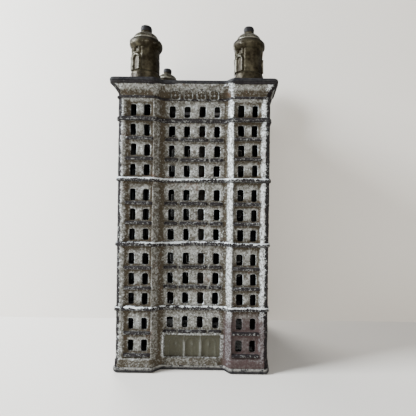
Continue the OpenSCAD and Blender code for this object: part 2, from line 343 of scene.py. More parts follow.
class NodeBook:
    """One material's node tree, filled by expressions."""

    def __init__(self, name: str) -> None:
        """Makes an empty node material with its output and its main shader."""
        self.material = bpy.data.materials.new(name)
        self.material.use_nodes = True
        self.nodes = self.material.node_tree.nodes
        self.links = self.material.node_tree.links
        self.shader = self.nodes["Principled BSDF"]
        coords = self.nodes.new("ShaderNodeTexCoord")
        place = Value(self, coords.outputs["Object"])
        self.place = self.node("ShaderNodeVectorMath", {"operation": "SCALE"}, {0: place, "Scale": 1.0 / MM})

    def node(self, kind: str, settings: dict, inputs: dict, output: int | str = 0) -> Value:
        """Makes any node, sets it up and feeds its sockets.

        Args:
            kind: The node's type.
            settings: Properties set first, such as a Math node's operation.
            inputs: Values or numbers by socket name or number.
            output: Which output the result is.

        Returns:
            The output as a value.
        """
        made = self.nodes.new(kind)
        for key, setting in settings.items():
            setattr(made, key, setting)
        for key, term in inputs.items():
            self.feed(made.inputs[key], term)
        return Value(self, made.outputs[output])

    def feed(self, socket: bpy.types.NodeSocket, term: "Value | float | tuple") -> None:
        """Links a value to a socket, or sets the socket's own number or colour."""
        if isinstance(term, Value):
            self.links.new(term.socket, socket)
        elif isinstance(term, tuple) and socket.type == "RGBA":
            socket.default_value = (*term, 1.0)
        else:
            socket.default_value = term

    def noise(self, size: float, detail: float = 3.0, seed: float = 0.0, rough: float = 0.55) -> Value:
        """Returns noise whose blobs are about size millimetres across."""
        return self.node(
            "ShaderNodeTexNoise", {"noise_dimensions": "4D"},
            {"Vector": self.place, "W": seed, "Scale": 1.0 / size, "Detail": detail, "Roughness": rough},
        )

    def part(self, axis: str) -> Value:
        """Returns one coordinate of the place, in millimetres."""
        return self.node("ShaderNodeSeparateXYZ", {}, {0: self.place}, axis)

    def attribute(self, name: str) -> Value:
        """Returns a per-vertex number of the piece."""
        return self.node("ShaderNodeAttribute", {"attribute_name": name}, {}, "Fac")

    def blend(self, factor: "Value | float", first: "Value | tuple", second: "Value | tuple") -> Value:
        """Returns first where the factor is 0 and second where it is 1, as a colour."""
        return self.node(
            "ShaderNodeMix", {"data_type": "RGBA"}, {"Factor": factor, 6: first, 7: second}, 2
        )

    def set(self, **sockets: "Value | float | tuple") -> None:
        """Feeds the main shader's sockets, named with underscores for spaces."""
        for name, term in sockets.items():
            self.feed(self.shader.inputs[name.replace("_", " ")], term)

    def one_sided(self) -> None:
        """Makes the surface clear from behind."""
        back = self.node("ShaderNodeNewGeometry", {}, {}, "Backfacing")
        clear = self.node("ShaderNodeBsdfTransparent", {}, {})
        own = Value(self, self.shader.outputs[0])
        mixed = self.node("ShaderNodeMixShader", {}, {0: back, 1: own, 2: clear})
        self.feed(self.nodes["Material Output"].inputs["Surface"], mixed)

    def bump(self, height: Value, strength: float, distance_mm: float) -> None:
        """Feeds the shader's normal from a height."""
        normal = self.node(
            "ShaderNodeBump", {}, {"Height": height, "Strength": strength, "Distance": distance_mm * MM},
            "Normal",
        )
        self.feed(self.shader.inputs["Normal"], normal)


# --------------------------------------------------------------------------- finishes
@dataclass(frozen=True)
class WornPaint:
    """Silver-grey paint on rough iron, rubbed through on raised edges, with painted shade that browns the
    hollows and the slopes turned from the light, and painted highlights on lit edges and ledge tops.
    """

    name: str = "worn_silver_paint"
    highlight_white: tuple = (0.69, 0.73, 0.75)
    pale: tuple = (0.305, 0.310, 0.292)
    mid: tuple = (0.112, 0.107, 0.092)
    grime_and_shade: tuple = (0.040, 0.031, 0.019)
    iron: tuple = (0.011, 0.009, 0.010)
    rust: tuple = (0.090, 0.040, 0.022)
    plum: tuple = (0.060, 0.040, 0.040)
    olive: tuple = (0.074, 0.073, 0.054)
    inside: tuple = (0.004, 0.004, 0.004)

    def material(self) -> bpy.types.Material:
        """Returns the finish as a node material."""
        book = NodeBook(self.name)
        broad = book.noise(8.0, 4.0, 1.0)
        middle = book.noise(1.9, 5.0, 2.0, 0.62)
        grain = book.noise(0.80, 3.0, 3.0, 0.6)
        grit = book.noise(0.42, 2.0, 4.0, 0.6)
        chips = book.noise(1.1, 4.0, 5.0, 0.7)
        ledge, crest = book.attribute("ledge"), book.attribute("crest")
        hollow, corner = book.attribute("hollow"), book.attribute("corner")
        interior, door = book.attribute("interior"), book.attribute("door")
        stain, edge = book.attribute("stain"), book.attribute("edge")
        silver, soot = book.attribute("silver"), book.attribute("soot")
        paint = book.blend((middle * 0.8 + broad * 0.5 - 0.15).step(0.30, 0.70), self.mid, self.pale)
        # Brown grit specks, a little denser in the hollows and in the painted shade.
        sand = (grain * 0.6 + grit * 0.5 + hollow * 0.10 + soot * 0.06).step(0.55, 0.61)
        colour = book.blend(sand * 0.68, paint, self.grime_and_shade)
        # Painted highlights: bluish-white glints on the grain, denser on the rims and slopes that face the
        # light.
        glints = (grit * 0.65 - grain * 0.45 - hollow * 0.10 - soot * 0.05 + edge * 0.10).step(0.14, 0.22)
        colour = book.blend(glints * (0.62 + edge * 0.38), colour, self.highlight_white)
        # Painted shade: brown darkening in the hollows, the reveals and the shaded slopes, broken up by noise
        # dirt.
        dirt_and_shade = (hollow * 0.95 + soot * 0.75 + middle * 0.6 + broad * 0.3 - 0.62).step(0.02, 0.60)
        colour = book.blend(dirt_and_shade * (0.40 + sand * 0.45), colour, self.grime_and_shade)
        rusty = (broad * 0.6 + chips * 0.5).step(0.60, 0.72)
        colour = book.blend(rusty * 0.55, colour, self.rust)
        colour = book.blend(stain * (0.55 + grain * 0.6), colour, self.plum)
        # The door is olive; its raised beads, bars, knobs and ridges turn pale, standing in for the
        # highlights on them.
        tint = book.blend((middle * 0.6 + grain * 0.4 - hollow * 0.5).step(0.30, 0.75), self.olive, self.pale)
        colour = book.blend(door * 0.85, colour, tint)
        # Painted highlight: a bright line along the top edge of the ledges in the sheen mask, where the light
        # meets them.
        shine = (silver * (crest * 0.80 + chips * 2.6 + broad * 1.5 - 2.24)).step(0.06, 0.20)
        worn = (ledge * (1.05 - silver * crest * 0.15 + middle * 0.5 + grain * 0.3 - 0.50)).step(0.22, 0.50)
        worn = (worn - shine).clamp()
        seam = (chips * 1.8 + middle * 0.7 + broad * 0.6 - 1.2).step(0.18, 0.50)
        # Dark iron at the rounded corners: partly bare iron, partly painted shade on the corner turned from
        # the light.
        bare_and_shaded_corner = (corner * (0.55 + seam * 0.30) + chips * 1.6 + grain * 0.3 - 1.05).step(0.24, 0.40)
        rubbed = (worn + bare_and_shaded_corner).clamp()
        colour = book.blend(rubbed * 0.96, colour, self.iron)
        colour = book.blend(shine * 0.9, colour, self.highlight_white)
        specks = (ledge * (grit * 0.7 - grain * 0.4 + chips * 0.4 - crest * 0.06)).step(0.38, 0.48)
        colour = book.blend(specks * 0.55, colour, self.pale)
        colour = book.blend(interior.step(0.08, 0.45), colour, self.inside)
        book.set(
            Base_Color=colour,
            Metallic=(0.50 + shine * 0.2 + glints * 0.2 - dirt_and_shade * 0.35 - rubbed * 0.6 - interior).clamp(),
            Roughness=(0.42 + dirt_and_shade * 0.28 + rubbed * 0.15 + grain * 0.22
                       - shine * 0.10 + interior * 0.5).clamp(),
            Specular_IOR_Level=0.05,
        )
        height = grain * 0.75 + grit * 0.30 + middle * 0.70 - sand * 0.30 + glints * 0.12
        book.bump(height, 1.0, 0.42)
        return book.material


@dataclass(frozen=True)
class BareIron:
    """Dark cast iron with a faint blue cast and rubbed, dusty patches."""

    name: str = "dark_bare_iron"
    deep: tuple = (0.009, 0.009, 0.011)
    lifted: tuple = (0.032, 0.031, 0.031)
    dust: tuple = (0.120, 0.108, 0.088)
    silver: tuple = (0.30, 0.295, 0.27)

    def material(self) -> bpy.types.Material:
        """Returns the finish as a node material."""
        book = NodeBook(self.name)
        broad = book.noise(6.0, 4.0, 11.0)
        middle = book.noise(1.3, 5.0, 12.0, 0.65)
        grain = book.noise(0.5, 3.0, 13.0)
        corner = book.attribute("corner")
        colour = book.blend(middle.step(0.35, 0.70), self.deep, self.lifted)
        dusty = (broad * 0.7 + middle * 0.5 - corner * 0.16).step(0.54, 0.74)
        colour = book.blend(dusty * 0.35, colour, self.dust)
        silvered = book.attribute("silvered") * (middle * 0.8 + grain * 0.7).step(0.62, 0.82)
        colour = book.blend(silvered * 0.8, colour, self.silver)
        book.set(
            Base_Color=colour,
            Metallic=(0.15 - dusty * 0.15 + silvered * 0.3).clamp(),
            Roughness=(0.50 + dusty * 0.25 + grain * 0.24).clamp(),
            Specular_IOR_Level=0.1,
        )
        book.bump(grain * 0.6 + middle * 0.6, 0.6, 0.22)
        return book.material


@dataclass(frozen=True)
class TurretBronze:
    """Dark bronze paint, olive and brown, worn to near black on the ball and ring, with painted shade in the
    arches' hollows and painted highlights on the dome and the ring's edges.
    """

    name: str = "dark_bronze_paint"
    deep: tuple = (0.008, 0.005, 0.0015)
    olive: tuple = (0.066, 0.058, 0.036)
    pale: tuple = (0.24, 0.23, 0.19)
    iron: tuple = (0.010, 0.010, 0.012)

    def material(self) -> bpy.types.Material:
        """Returns the finish as a node material."""
        book = NodeBook(self.name)
        broad = book.noise(5.0, 4.0, 21.0)
        middle = book.noise(1.4, 5.0, 22.0, 0.65)
        grain = book.noise(0.5, 3.0, 23.0)
        ledge, dark, hollow = book.attribute("ledge"), book.attribute("dark"), book.attribute("hollow")
        colour = book.blend((broad * 0.6 + middle * 0.6 - 0.1).step(0.36, 0.74), self.deep, self.olive)
        # Painted shade in the blind arches' hollows.
        colour = book.blend(hollow * 0.7, colour, self.deep)
        # Paler on the raised arch surrounds as rubbed paint, and on the bands of painted highlight that the
        # turret adds to the ledge mask.
        rubbed = (ledge * 0.42 + middle * 0.7 + grain * 0.5 - 0.42).step(0.34, 0.60)
        colour = book.blend(rubbed * 0.7, colour, self.pale)
        blackened = (dark * 0.9 + middle * 0.4 - 0.2).step(0.30, 0.60)
        colour = book.blend(blackened * 0.92, colour, self.iron)
        book.set(
            Base_Color=colour,
            Metallic=(0.45 + rubbed * 0.2 - blackened * 0.4).clamp(),
            Roughness=(0.28 + grain * 0.26 + blackened * 0.12).clamp(),
            Specular_IOR_Level=0.1,
        )
        book.bump(grain * 0.5 + middle * 0.8, 0.6, 0.28)
        return book.material


@dataclass(frozen=True)
class OldSteel:
    """Dull screw steel with brown bloom."""

    name: str = "old_screw_steel"
    steel: tuple = (0.060, 0.057, 0.052)
    bloom: tuple = (0.022, 0.014, 0.009)

    def material(self) -> bpy.types.Material:
        """Returns the finish as a node material."""
        book = NodeBook(self.name)
        broad = book.noise(2.5, 5.0, 31.0, 0.62)
        fine = book.noise(0.30, 3.0, 32.0)
        bloomed = (broad * 0.8 + fine * 0.3).step(0.45, 0.68)
        colour = book.blend(bloomed, self.steel, self.bloom)
        book.set(
            Base_Color=colour,
            Metallic=(0.6 - bloomed * 0.5).clamp(),
            Roughness=(0.48 + bloomed * 0.3 + fine * 0.1).clamp(),
            Specular_IOR_Level=0.1,
        )
        book.bump(fine + broad * 0.5, 0.35, 0.08)
        return book.material


# --------------------------------------------------------------------------- openings in slabs
@dataclass(frozen=True)
class Opening:
    """A hole with round corners through a slab, in the slab's own two directions."""

    u: float
    v: float
    width: float
    height: float
    radius: float


@dataclass(frozen=True)
class Openings:
    """The holes of one slab, and the round of their outer edges."""

    holes: tuple[Opening, ...]
    rim: float = 0.22
    spread: float = 0.7
    jitter: float = 0.0
    seed: int = SEED

    def hard_lines(self, across: bool) -> list[float]:
        """Returns the positions of the holes' sides in one direction."""
        if across:
            return [h.u + s * h.width / 2.0 for h in self.holes for s in (-1, 1)]
        return [h.v + s * h.height / 2.0 for h in self.holes for s in (-1, 1)]

    def soft_lines(self, across: bool) -> list[float]:
        """Returns positions beside the holes' sides that carry the round corners and edges."""
        steps = (-0.55, -0.18, 0.1, self.rim, 0.45)
        if across:
            return [h.u + s * (h.width / 2.0 + d) for h in self.holes for s in (-1, 1) for d in steps]
        return [h.v + s * (h.height / 2.0 + d) for h in self.holes for s in (-1, 1) for d in steps]

    def move(self, u: np.ndarray, v: np.ndarray) -> tuple[np.ndarray, np.ndarray, np.ndarray]:
        """Rounds each hole's corners, shifts and stretches it a little, and drops its edge.

        Formula: near a hole, the nearest point of its rectangle is pulled onto the rectangle
        with round corners, plus a small random shift and stretch; the pull fades out over
        the spread. The edge falls by rim - sqrt(rim^2 - (rim - d)^2) at distance d.

        Args:
            u: First coordinate of each grid point.
            v: Second coordinate of each grid point.

        Returns:
            The moved coordinates and the drop of the surface.
        """
        rng = np.random.default_rng(self.seed)
        new_u, new_v, drop = u.copy(), v.copy(), np.zeros_like(u)
        for hole in self.holes:
            a, h, r = hole.width / 2.0, hole.height / 2.0, hole.radius
            shift = rng.normal(0.0, 0.08, 2).clip(-0.16, 0.16) * self.jitter
            grow = rng.normal(0.0, 0.05, 2).clip(-0.10, 0.10) * self.jitter
            margin = self.spread + 0.1
            near = (np.abs(u - hole.u) < a + margin) & (np.abs(v - hole.v) < h + margin)
            du, dv = u[near] - hole.u, v[near] - hole.v
            outside = np.maximum(np.abs(du) - a, np.abs(dv) - h)
            fade = np.clip(1.0 - outside / self.spread, 0.0, 1.0)
            ex = np.maximum(np.clip(np.abs(du), 0, a) - (a - r), 0.0)
            ev = np.maximum(np.clip(np.abs(dv), 0, h) - (h - r), 0.0)
            length = np.maximum(np.hypot(ex, ev), 1e-9)
            pull = np.where((ex > 0) & (ev > 0), np.minimum(r / length, 1.0) - 1.0, 0.0)
            new_u[near] += fade * (np.sign(du) * ex * pull + shift[0] + grow[0] * du / a)
            new_v[near] += fade * (np.sign(dv) * ev * pull + shift[1] + grow[1] * dv / h)
            d = np.clip(outside, 0.0, self.rim)
            fall = self.rim - np.sqrt(self.rim**2 - (self.rim - d) ** 2)
            drop[near] = np.maximum(drop[near], fall)
        return new_u, new_v, drop

    def kept(self, lines_u: np.ndarray, lines_v: np.ndarray) -> np.ndarray:
        """Returns True for each grid cell that is not inside a hole."""
        mid_u, mid_v = (lines_u[1:] + lines_u[:-1]) / 2.0, (lines_v[1:] + lines_v[:-1]) / 2.0
        keep = np.ones((len(mid_v), len(mid_u)), dtype=bool)
        for hole in self.holes:
            keep &= ~((np.abs(mid_v - hole.v) < hole.height / 2.0)[:, None]
                      & (np.abs(mid_u - hole.u) < hole.width / 2.0)[None, :])
        return keep


def closed_slab(layers: list[np.ndarray], keep: np.ndarray) -> tuple[np.ndarray, np.ndarray]:
    """Joins stacked grids into a closed skin.

    The first and the last layer are its faces, and strips run round every hole and end.

    Args:
        layers: Arrays (rows, columns, 3) from the outside to the inside.
        keep: True for each cell that is solid.

    Returns:
        Points and quads.
    """
    rows, columns = layers[0].shape[:2]
    index = np.arange(rows * columns).reshape(rows, columns)
    layer = rows * columns
    cell = grid_quads(rows, columns)[keep.ravel()]
    padded = np.pad(keep, 1, constant_values=False)
    edges = []
    for before, after, side, down, right in (
        (padded[:-1, 1:-1], padded[1:, 1:-1], padded[1:, 1:-1], 0, 1),
        (padded[1:-1, :-1], padded[1:-1, 1:], padded[1:-1, :-1], 1, 0),
    ):
        r, c = np.nonzero(before != after)
        ends = np.stack([index[r, c], index[r + down, c + right]], axis=1)
        edges.append(np.where(side[r, c][:, None], ends, ends[:, ::-1]))
    edge = np.concatenate(edges)
    strips = [
        np.stack([edge[:, 1] + k * layer, edge[:, 0] + k * layer,
                  edge[:, 0] + (k + 1) * layer, edge[:, 1] + (k + 1) * layer], axis=1)
        for k in range(len(layers) - 1)
    ]
    quads = np.concatenate([cell, cell[:, ::-1] + (len(layers) - 1) * layer, *strips])
    return np.concatenate([p.reshape(-1, 3) for p in layers]), quads


def soft_box(low: tuple, high: tuple, round_by: float) -> tuple[np.ndarray, np.ndarray]:
    """Returns a box with eased edges as stacked closed loops.

    Formula: each level's loop is a rectangle pushed in by round_by times 1 - sin of the
    edge's angle; the two end loops are closed by a shrunk loop.

    Args:
        low: Lowest corner.
        high: Highest corner.
        round_by: Radius of the eased edges.

    Returns:
        Points and quads.
    """
    turn = np.array([(0, 0), (1, 0), (1, 1), (0, 1)], dtype=float)
    along = np.concatenate([turn[i] + (turn[(i + 1) % 4] - turn[i]) * t for i in range(4)
                            for t in (np.arange(8)[:, None] / 8.0)]).reshape(-1, 2)
    low, high = np.array(low, dtype=float), np.array(high, dtype=float)
    size, centre = high - low, (high + low) / 2.0
    shrunk = size[:2].min() / 2.0 * 0.98
    eased = [(round_by * (1 - math.cos(a)), round_by * (1 - math.sin(a)))
             for a in np.linspace(0.0, math.pi / 2.0, 4)]
    levels = [(low[2], shrunk)]
    levels += [(low[2] + rise, inset) for rise, inset in eased]
    levels += [(high[2] - rise, inset) for rise, inset in eased[::-1]]
    levels += [(high[2], shrunk)]
    loops = [level_loop(centre[:2] + (along - 0.5) * (size[:2] - 2.0 * inset), level)
             for level, inset in levels]
    points, quads = ring_loft(loops, closed=False)
    around = len(along)
    foot, lid = cap_quads(0, around), cap_quads((len(loops) - 1) * around, around)
    return points, np.concatenate([quads, foot[:, ::-1], lid])


# --------------------------------------------------------------------------- the block
class Quarter(Enum):
    """Which way a wall faces, as its turn about Z in degrees."""

    FRONT = 0.0
    RIGHT = 90.0
    REAR = 180.0
    LEFT = 270.0


@dataclass(frozen=True)
class Block:
    """Sizes of the whole block in millimetres, shared by its castings."""

    width: float = 60.0
    corner_r: float = 2.0
    recess: float = 3.0
    pilaster: float = 2.5
    slope: float = 1.1
    field_w: float = 10.1
    sink: float = 0.8
    ridge: float = 0.7
    curve: float = 3.5
    wall: float = 2.2
    storeys: int = 12
    storey_h: float = 7.9
    ground_extra: float = 0.7
    course_gap: float = 1.7
    first_z: float = 10.4
    window_w: float = 2.5
    window_h: float = 4.6
    side_pitch: float = 5.45
    mid_pitch: float = 6.05
    plinth_h: float = 2.9

    @property
    def half(self) -> float:
        """Half of the width."""
        return self.width / 2.0

    @property
    def bay_x(self) -> float:
        """Distance of a side bay's axis from the middle."""
        return self.half - self.pilaster - self.slope - self.field_w / 2.0

    @property
    def curve_start(self) -> float:
        """Distance from the middle at which the curve to the middle bay ends."""
        return self.half - self.pilaster - self.slope - self.field_w - self.ridge - self.curve

    @property
    def base_t(self) -> float:
        """Level of the walls' feet, read from the CAD."""
        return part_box("front_wall")[0].z / MM

    @property
    def roof_z(self) -> float:
        """Underside of the roof plate, read from the CAD."""
        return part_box("front_wall")[1].z / MM

    @property
    def roof_top(self) -> float:
        """Top of the roof plate, read from the CAD."""
        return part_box("roof_plate")[1].z / MM

    @property
    def run_end(self) -> float:
        """The run at which a side ends, at the mitre."""
        return self.half - self.corner_r + self.corner_r * math.pi / 4.0

    def storey_z(self, storey: int) -> float:
        """Returns the level of a storey's windows' middle; the ground storey is 0."""
        courses = sum(1 for c in (2, 5, 8) if c <= storey)
        extra = self.ground_extra if storey > 0 else 0.0
        return self.first_z + storey * self.storey_h + extra + courses * self.course_gap

    def has_course(self, storey: int) -> bool:
        """Says whether a full string course runs under a storey."""
        return storey in (2, 5, 8, self.storeys - 1)

    def recess_at(self, x: np.ndarray) -> np.ndarray:
        """Returns how far the outline stands back at x: 0 on the side bays, recess in the middle."""
        return self.recess * smooth01((self.curve_start + self.curve - np.abs(x)) / self.curve)

    def outline(self, u: np.ndarray, out: np.ndarray) -> tuple[np.ndarray, np.ndarray]:
        """Maps the run u along one side, pushed out by out, to the plan.

        Formula: on the straight part x = u and y = recess - out; past the straight part the
        run is an arc of radius corner_r whose centre moves out with the surface, and the last
        stretch before it is drawn out by the same amount.

        Args:
            u: Run along the side from its middle, in millimetres.
            out: How far the surface stands out.

        Returns:
            x and y, with y = 0 on the pilasters and +y inwards.
        """
        straight = self.half - self.corner_r
        angle = np.maximum(np.abs(u) - straight, 0.0) / self.corner_r
        drawn = np.abs(u) + out * smooth01((np.abs(u) - straight + 4.0) / 4.0)
        x = np.where(angle > 0, straight + out + self.corner_r * np.sin(angle), drawn)
        y = np.where(angle > 0, self.corner_r * (1.0 - np.cos(angle)), self.recess_at(u)) - out
        return np.sign(u) * x, y


@dataclass
class Doorway:
    """The arched doors and the four rosettes, laid on the front wall's middle bay."""

    block: Block
    width: float = 22.4
    height: float = 8.9
    sink: float = 0.75
    leaf: float = 6.53
    arch_r: float = 2.75
    rosette: float = 4.3
    rosette_pitch: float = 5.15
    rosette_z: float = 4.0
    rosette_lines: int = 30
    door_back: float = 1.9
    rosette_back: float = 0.8

    def doors(self) -> tuple[np.ndarray, np.ndarray, np.ndarray]:
        """Returns the doors' slab and how hollow each point is.

        Formula: with d the distance outside each leaf's arched outline, the panel is sunk where
        d is negative, a bead follows d = 0, a thin upright bar with a knob parts the panel, and
        ridges stand between the leaves.

        Returns:
            Points, quads and each point's hollow, from 0 to 1.
        """
        b = self.block
        low = b.base_t + b.plinth_h - 0.1
        columns, rows = 110, 44
        u, z = np.meshgrid(np.linspace(-self.width / 2, self.width / 2, columns),
                           np.linspace(low, low + self.height + 0.15, rows))
        nearest = np.clip(np.round(u / self.leaf), -1, 1) * self.leaf
        x = np.abs(u - nearest)
        spring = low + self.height - 1.0 - self.arch_r
        d = np.where(z > spring, np.hypot(x, z - spring), x) - self.arch_r
        panel = smooth01(-d / 0.45)
        bead = np.exp(-((d - 0.1) / 0.28) ** 2)
        bar = np.exp(-(x / 0.34) ** 2) * panel
        knob = np.exp(-((x - 0.1) ** 2 + ((z - low - 5.2) * 0.55) ** 2) / 0.42) * panel
        ridge = np.exp(-((np.abs(u) - self.leaf / 2.0) / 0.36) ** 2)
        rough = 0.05 * noise3(flat_place(u, z), 0.9, 71)
        reach = -self.sink - 0.30 * panel + 0.14 * bead + 0.08 * bar + 0.30 * knob + 0.26 * ridge + rough
        y = b.recess - reach - b.half
        front = np.stack([u, y, z], axis=-1)
        back = np.stack([u, np.full_like(u, b.recess + self.door_back - b.half), z], axis=-1)
        points, quads = closed_slab([front, back], np.ones((rows - 1, columns - 1), dtype=bool))
        raised = 0.60 * bead + 0.15 * bar + 0.7 * knob + 0.9 * ridge
        hollow = np.concatenate([np.clip(1.0 - raised, 0, 1).ravel(), np.zeros(u.size)])
        return points, quads, hollow

    def ornaments(self, cornice: "WallCasting") -> list[tuple[np.ndarray, np.ndarray, np.ndarray]]:
        """Returns four raised rosettes that lie on the hollow under the roof.

        Formula: in square coordinates, edge is a distance whose contours are squares with
        round corners; the height is a worn frame near edge = 0.8 plus a round boss and four
        petals in the middle, and the patch follows the cornice's own profile.

        Args:
            cornice: The wall whose cornice they lie on.

        Returns:
            Points, quads and each point's hollow, for each rosette.
        """
        b = self.block
        n = self.rosette_lines
        s, t = np.meshgrid(np.linspace(-1, 1, n), np.linspace(-1, 1, n))
        radius = np.hypot(s, t)
        edge = (np.abs(s) ** 6 + np.abs(t) ** 6) ** (1 / 6)
        petals = 0.5 + 0.5 * np.cos(4 * np.arctan2(t, s))
        frame_h = np.exp(-((edge - 0.80) / 0.13) ** 2)
        boss = np.exp(-(radius / 0.24) ** 2) + 0.6 * petals * np.exp(-((radius - 0.50) / 0.16) ** 2)
        shrink = np.maximum(np.maximum(np.abs(s), np.abs(t)), 1e-6) / np.maximum(edge, 1e-6)
        raised = (0.10 + 0.85 * frame_h + 0.80 * boss) * smooth01((1.0 - edge) / 0.14) - 0.15
        sunken = np.clip(1.0 - 1.6 * (frame_h + boss), 0.0, 1.0)
        made = []
        for k in (-1.5, -0.5, 0.5, 1.5):
            u = k * self.rosette_pitch + s * shrink * self.rosette / 2
            z = b.roof_z - self.rosette_z + t * shrink * self.rosette / 2
            lift = raised + 0.05 * noise3(flat_place(u, z), 1.1, 72)
            y = b.recess - cornice.cornice_profile(z) - lift - b.half
            front = np.stack([u, y, z], axis=-1)
            back = np.stack([u, np.full_like(u, b.recess + self.rosette_back - b.half), z], axis=-1)
            points, quads = closed_slab([front, back], np.ones((n - 1, n - 1), dtype=bool))
            made.append((points, quads, np.concatenate([sunken.ravel(), np.zeros(u.size)])))
        return made


@dataclass
class WallCasting:
    """One wall with its windows, sills, string courses, plinth and cornice, in millimetres."""

    node: str
    block: Block
    quarter: Quarter
    doorway: bool = False
    lugs: bool = False
    seed: int = SEED
    sill_drop: float = 0.4
    sill_h: float = 1.45
    sill_proud: float = 0.2
    mid_sill_out: float = 0.9
    sill_gap: float = 1.1
    course_h: float = 1.9
    course_out: float = 0.5
    plinth_out: float = 0.3
    cornice_h: float = 4.4
    cornice_out: float = 2.6
    fillet_h: float = 0.95
    fillet_out: float = 0.35
    mitre_gap: float = 0.05
    window_r: float = 0.72
    door_half: float = 11.3
    door_h: float = 8.9
    door_frame_out: float = 0.30
    door_pocket: float = 1.7
    door_step_out: float = 0.75
    # Painted shade: the left curve and the left field's edge face away from the light.
    shaded_curve: tuple = (-16.2, -13.0)
    shaded_edge: tuple = (-27.2, -25.4)
    # Painted highlight: the right curve and the corners face the light, the right corner most.
    highlight_curve: tuple = (12.2, 15.2)
    highlight_edge: tuple = (27.2, 28.8)
    stain_from: float = 13.5
    stain_top: float = 26.0
    lug_x: float = 25.55
    lug_size: tuple = (2.4, 6.1, 4.0)
    lug_bite: float = 1.1

    def windows(self) -> Openings:
        """Returns the windows; a doorway takes the place of the middle bay's lowest four."""
        b = self.block
        sides = [s * b.bay_x + t * b.side_pitch / 2.0 for s in (-1, 1) for t in (-1, 1)]
        middle = [k * b.mid_pitch for k in (-1.5, -0.5, 0.5, 1.5)]
        holes = []
        for storey in range(b.storeys):
            columns = sides + ([] if self.doorway and storey == 0 else middle)
            level = b.storey_z(storey)
            holes += [Opening(x, level, b.window_w, b.window_h, self.window_r) for x in columns]
        return Openings(tuple(holes), rim=0.30, spread=0.7, jitter=1.0, seed=self.seed)

    def sill_spans(self, storey: int) -> list[tuple[float, float, float]]:
        """Returns (left, right, out) of each sill of a storey that has no string course."""
        b = self.block
        side = (b.field_w + b.ridge) / 2.0
        spans = [(s * b.bay_x - side, s * b.bay_x + side, self.sill_proud) for s in (-1, 1)]
        if not (self.doorway and storey == 0):
            outer = (b.mid_pitch - self.sill_gap) / 2.0
            inner = (2.0 * b.mid_pitch - self.sill_gap) / 2.0
            spans += [(s * 1.5 * b.mid_pitch - outer, s * 1.5 * b.mid_pitch + outer, self.mid_sill_out)
                      for s in (-1, 1)]
            spans.append((-inner, inner, self.mid_sill_out))
        return spans

    def grid(self, holes: Openings) -> tuple[np.ndarray, np.ndarray]:
        """Returns the run lines and level lines, dense where the relief changes."""
        b = self.block
        edge = [b.half - b.pilaster, b.half - b.pilaster - b.slope, b.curve_start + b.curve,
                b.curve_start + b.curve + b.ridge, b.curve_start, b.half - b.corner_r]
        for left, right, _ in self.sill_spans(1):
            edge += [abs(left), abs(right), abs(left) + 0.3, abs(right) + 0.3]
        across_soft = [s * e for e in edge for s in (-1, 1)]
        end = b.run_end - self.mitre_gap
        across = sorted(set(np.round(holes.hard_lines(True), 6)))
        runs = lines_through(across, holes.soft_lines(True) + across_soft, -end, end, 0.95, 0.1)
        up_soft = holes.soft_lines(False)
        for storey in range(b.storeys):
            top = b.storey_z(storey) - b.window_h / 2.0 - self.sill_drop
            tall = self.course_h if b.has_course(storey) else self.sill_h
            up_soft += [top - tall - 0.2, top - tall, top - tall + 0.2, top - tall + 0.42,
                        top + 0.2, top, top - 0.2, top - 0.42, top - tall / 2]
        foot, roof = b.base_t, b.roof_z
        up_soft += [foot + b.plinth_h + d for d in (-0.2, 0.0, 0.15, 0.35)]
        up_soft += [roof - self.cornice_h - d for d in (0.3, 0.5, 0.7, 1.0, 1.4, 1.8, 2.0, 2.2)]
        up_soft += list(np.linspace(roof - self.cornice_h, roof, 18))
        up = sorted(set(np.round(holes.hard_lines(False), 6)))
        return runs, lines_through(up, up_soft, foot, roof, 1.2, 0.1)

    def cornice_profile(self, z: np.ndarray) -> np.ndarray:
        """Returns the cornice's reach at each level.

        Formula: a hollow that starts upright and leans out as a power of the height, then a
        small plain fillet under the roof plate.
        """
        top = self.block.roof_z
        t = np.clip((z - (top - self.cornice_h)) / (self.cornice_h - 0.9), 0.0, 1.0)
        fillet = smooth01((z - (top - self.fillet_h)) / 0.25)
        return (self.cornice_out - self.fillet_out) * t**1.35 + self.fillet_out * fillet

    def relief(self, u: np.ndarray, z: np.ndarray) -> dict[str, np.ndarray]:
        """Returns how far the surface stands out, and the masks that the finish reads.

        Formula: the fields are sunk between soft slopes; each sill, course, band and cornice
        then replaces the surface by its own reach where its soft mask is 1.

        Args:
            u: Run of each grid point.
            z: Level of each grid point.

        Returns:
            out, the reach in millimetres; ledge, 1 on raised ledges; crest, from -1 at a
            ledge's foot to 1 at its top edge; the sheen mask, 1 on ledges whose top edge keeps its paint and
            gets a painted highlight;
            the shade mask, painted shade on the slopes turned from the light, under the roof plate and under
            the cornice, with the plinth darker towards the bottom; and rim, a painted highlight on the slopes
            and edges turned to the light.
        """
        b = self.block
        from_edge = b.half - np.abs(u)
        sunk = smooth01((from_edge - b.pilaster) / b.slope)
        sunk = sunk * smooth01((b.half - b.curve_start - b.curve - from_edge) / b.ridge)
        first, last = b.storey_z(0) - b.window_h / 2.0, b.storey_z(b.storeys - 1) + b.window_h / 2.0
        sunk = sunk * plateau(z, first - 2.0, last + 0.5, 0.5)
        out, ledge, crest = -b.sink * sunk, np.zeros_like(u), np.zeros_like(u)
        place = flat_place(u, z)
        sag = 0.16 * noise3(place, 12.0, self.seed + 3) + 0.08 * noise3(place, 3.0, self.seed + 4)
        silver = np.zeros_like(u)

        def raise_ledge(mask: np.ndarray, reach: float, middle: float, tall: float,
                        sheen_share: float = 0.0) -> None:
            """Sets the reach and the masks where a ledge stands."""
            nonlocal out, ledge, crest, silver
            lean = np.clip((z + sag - middle) / (tall / 2.0), -1.0, 1.0)
            out = out + mask * (reach - 0.10 * lean - out)
            ledge = np.maximum(ledge, mask)
            silver = np.maximum(silver, mask * sheen_share)
            crest = np.where(mask > 0.02, lean, crest)

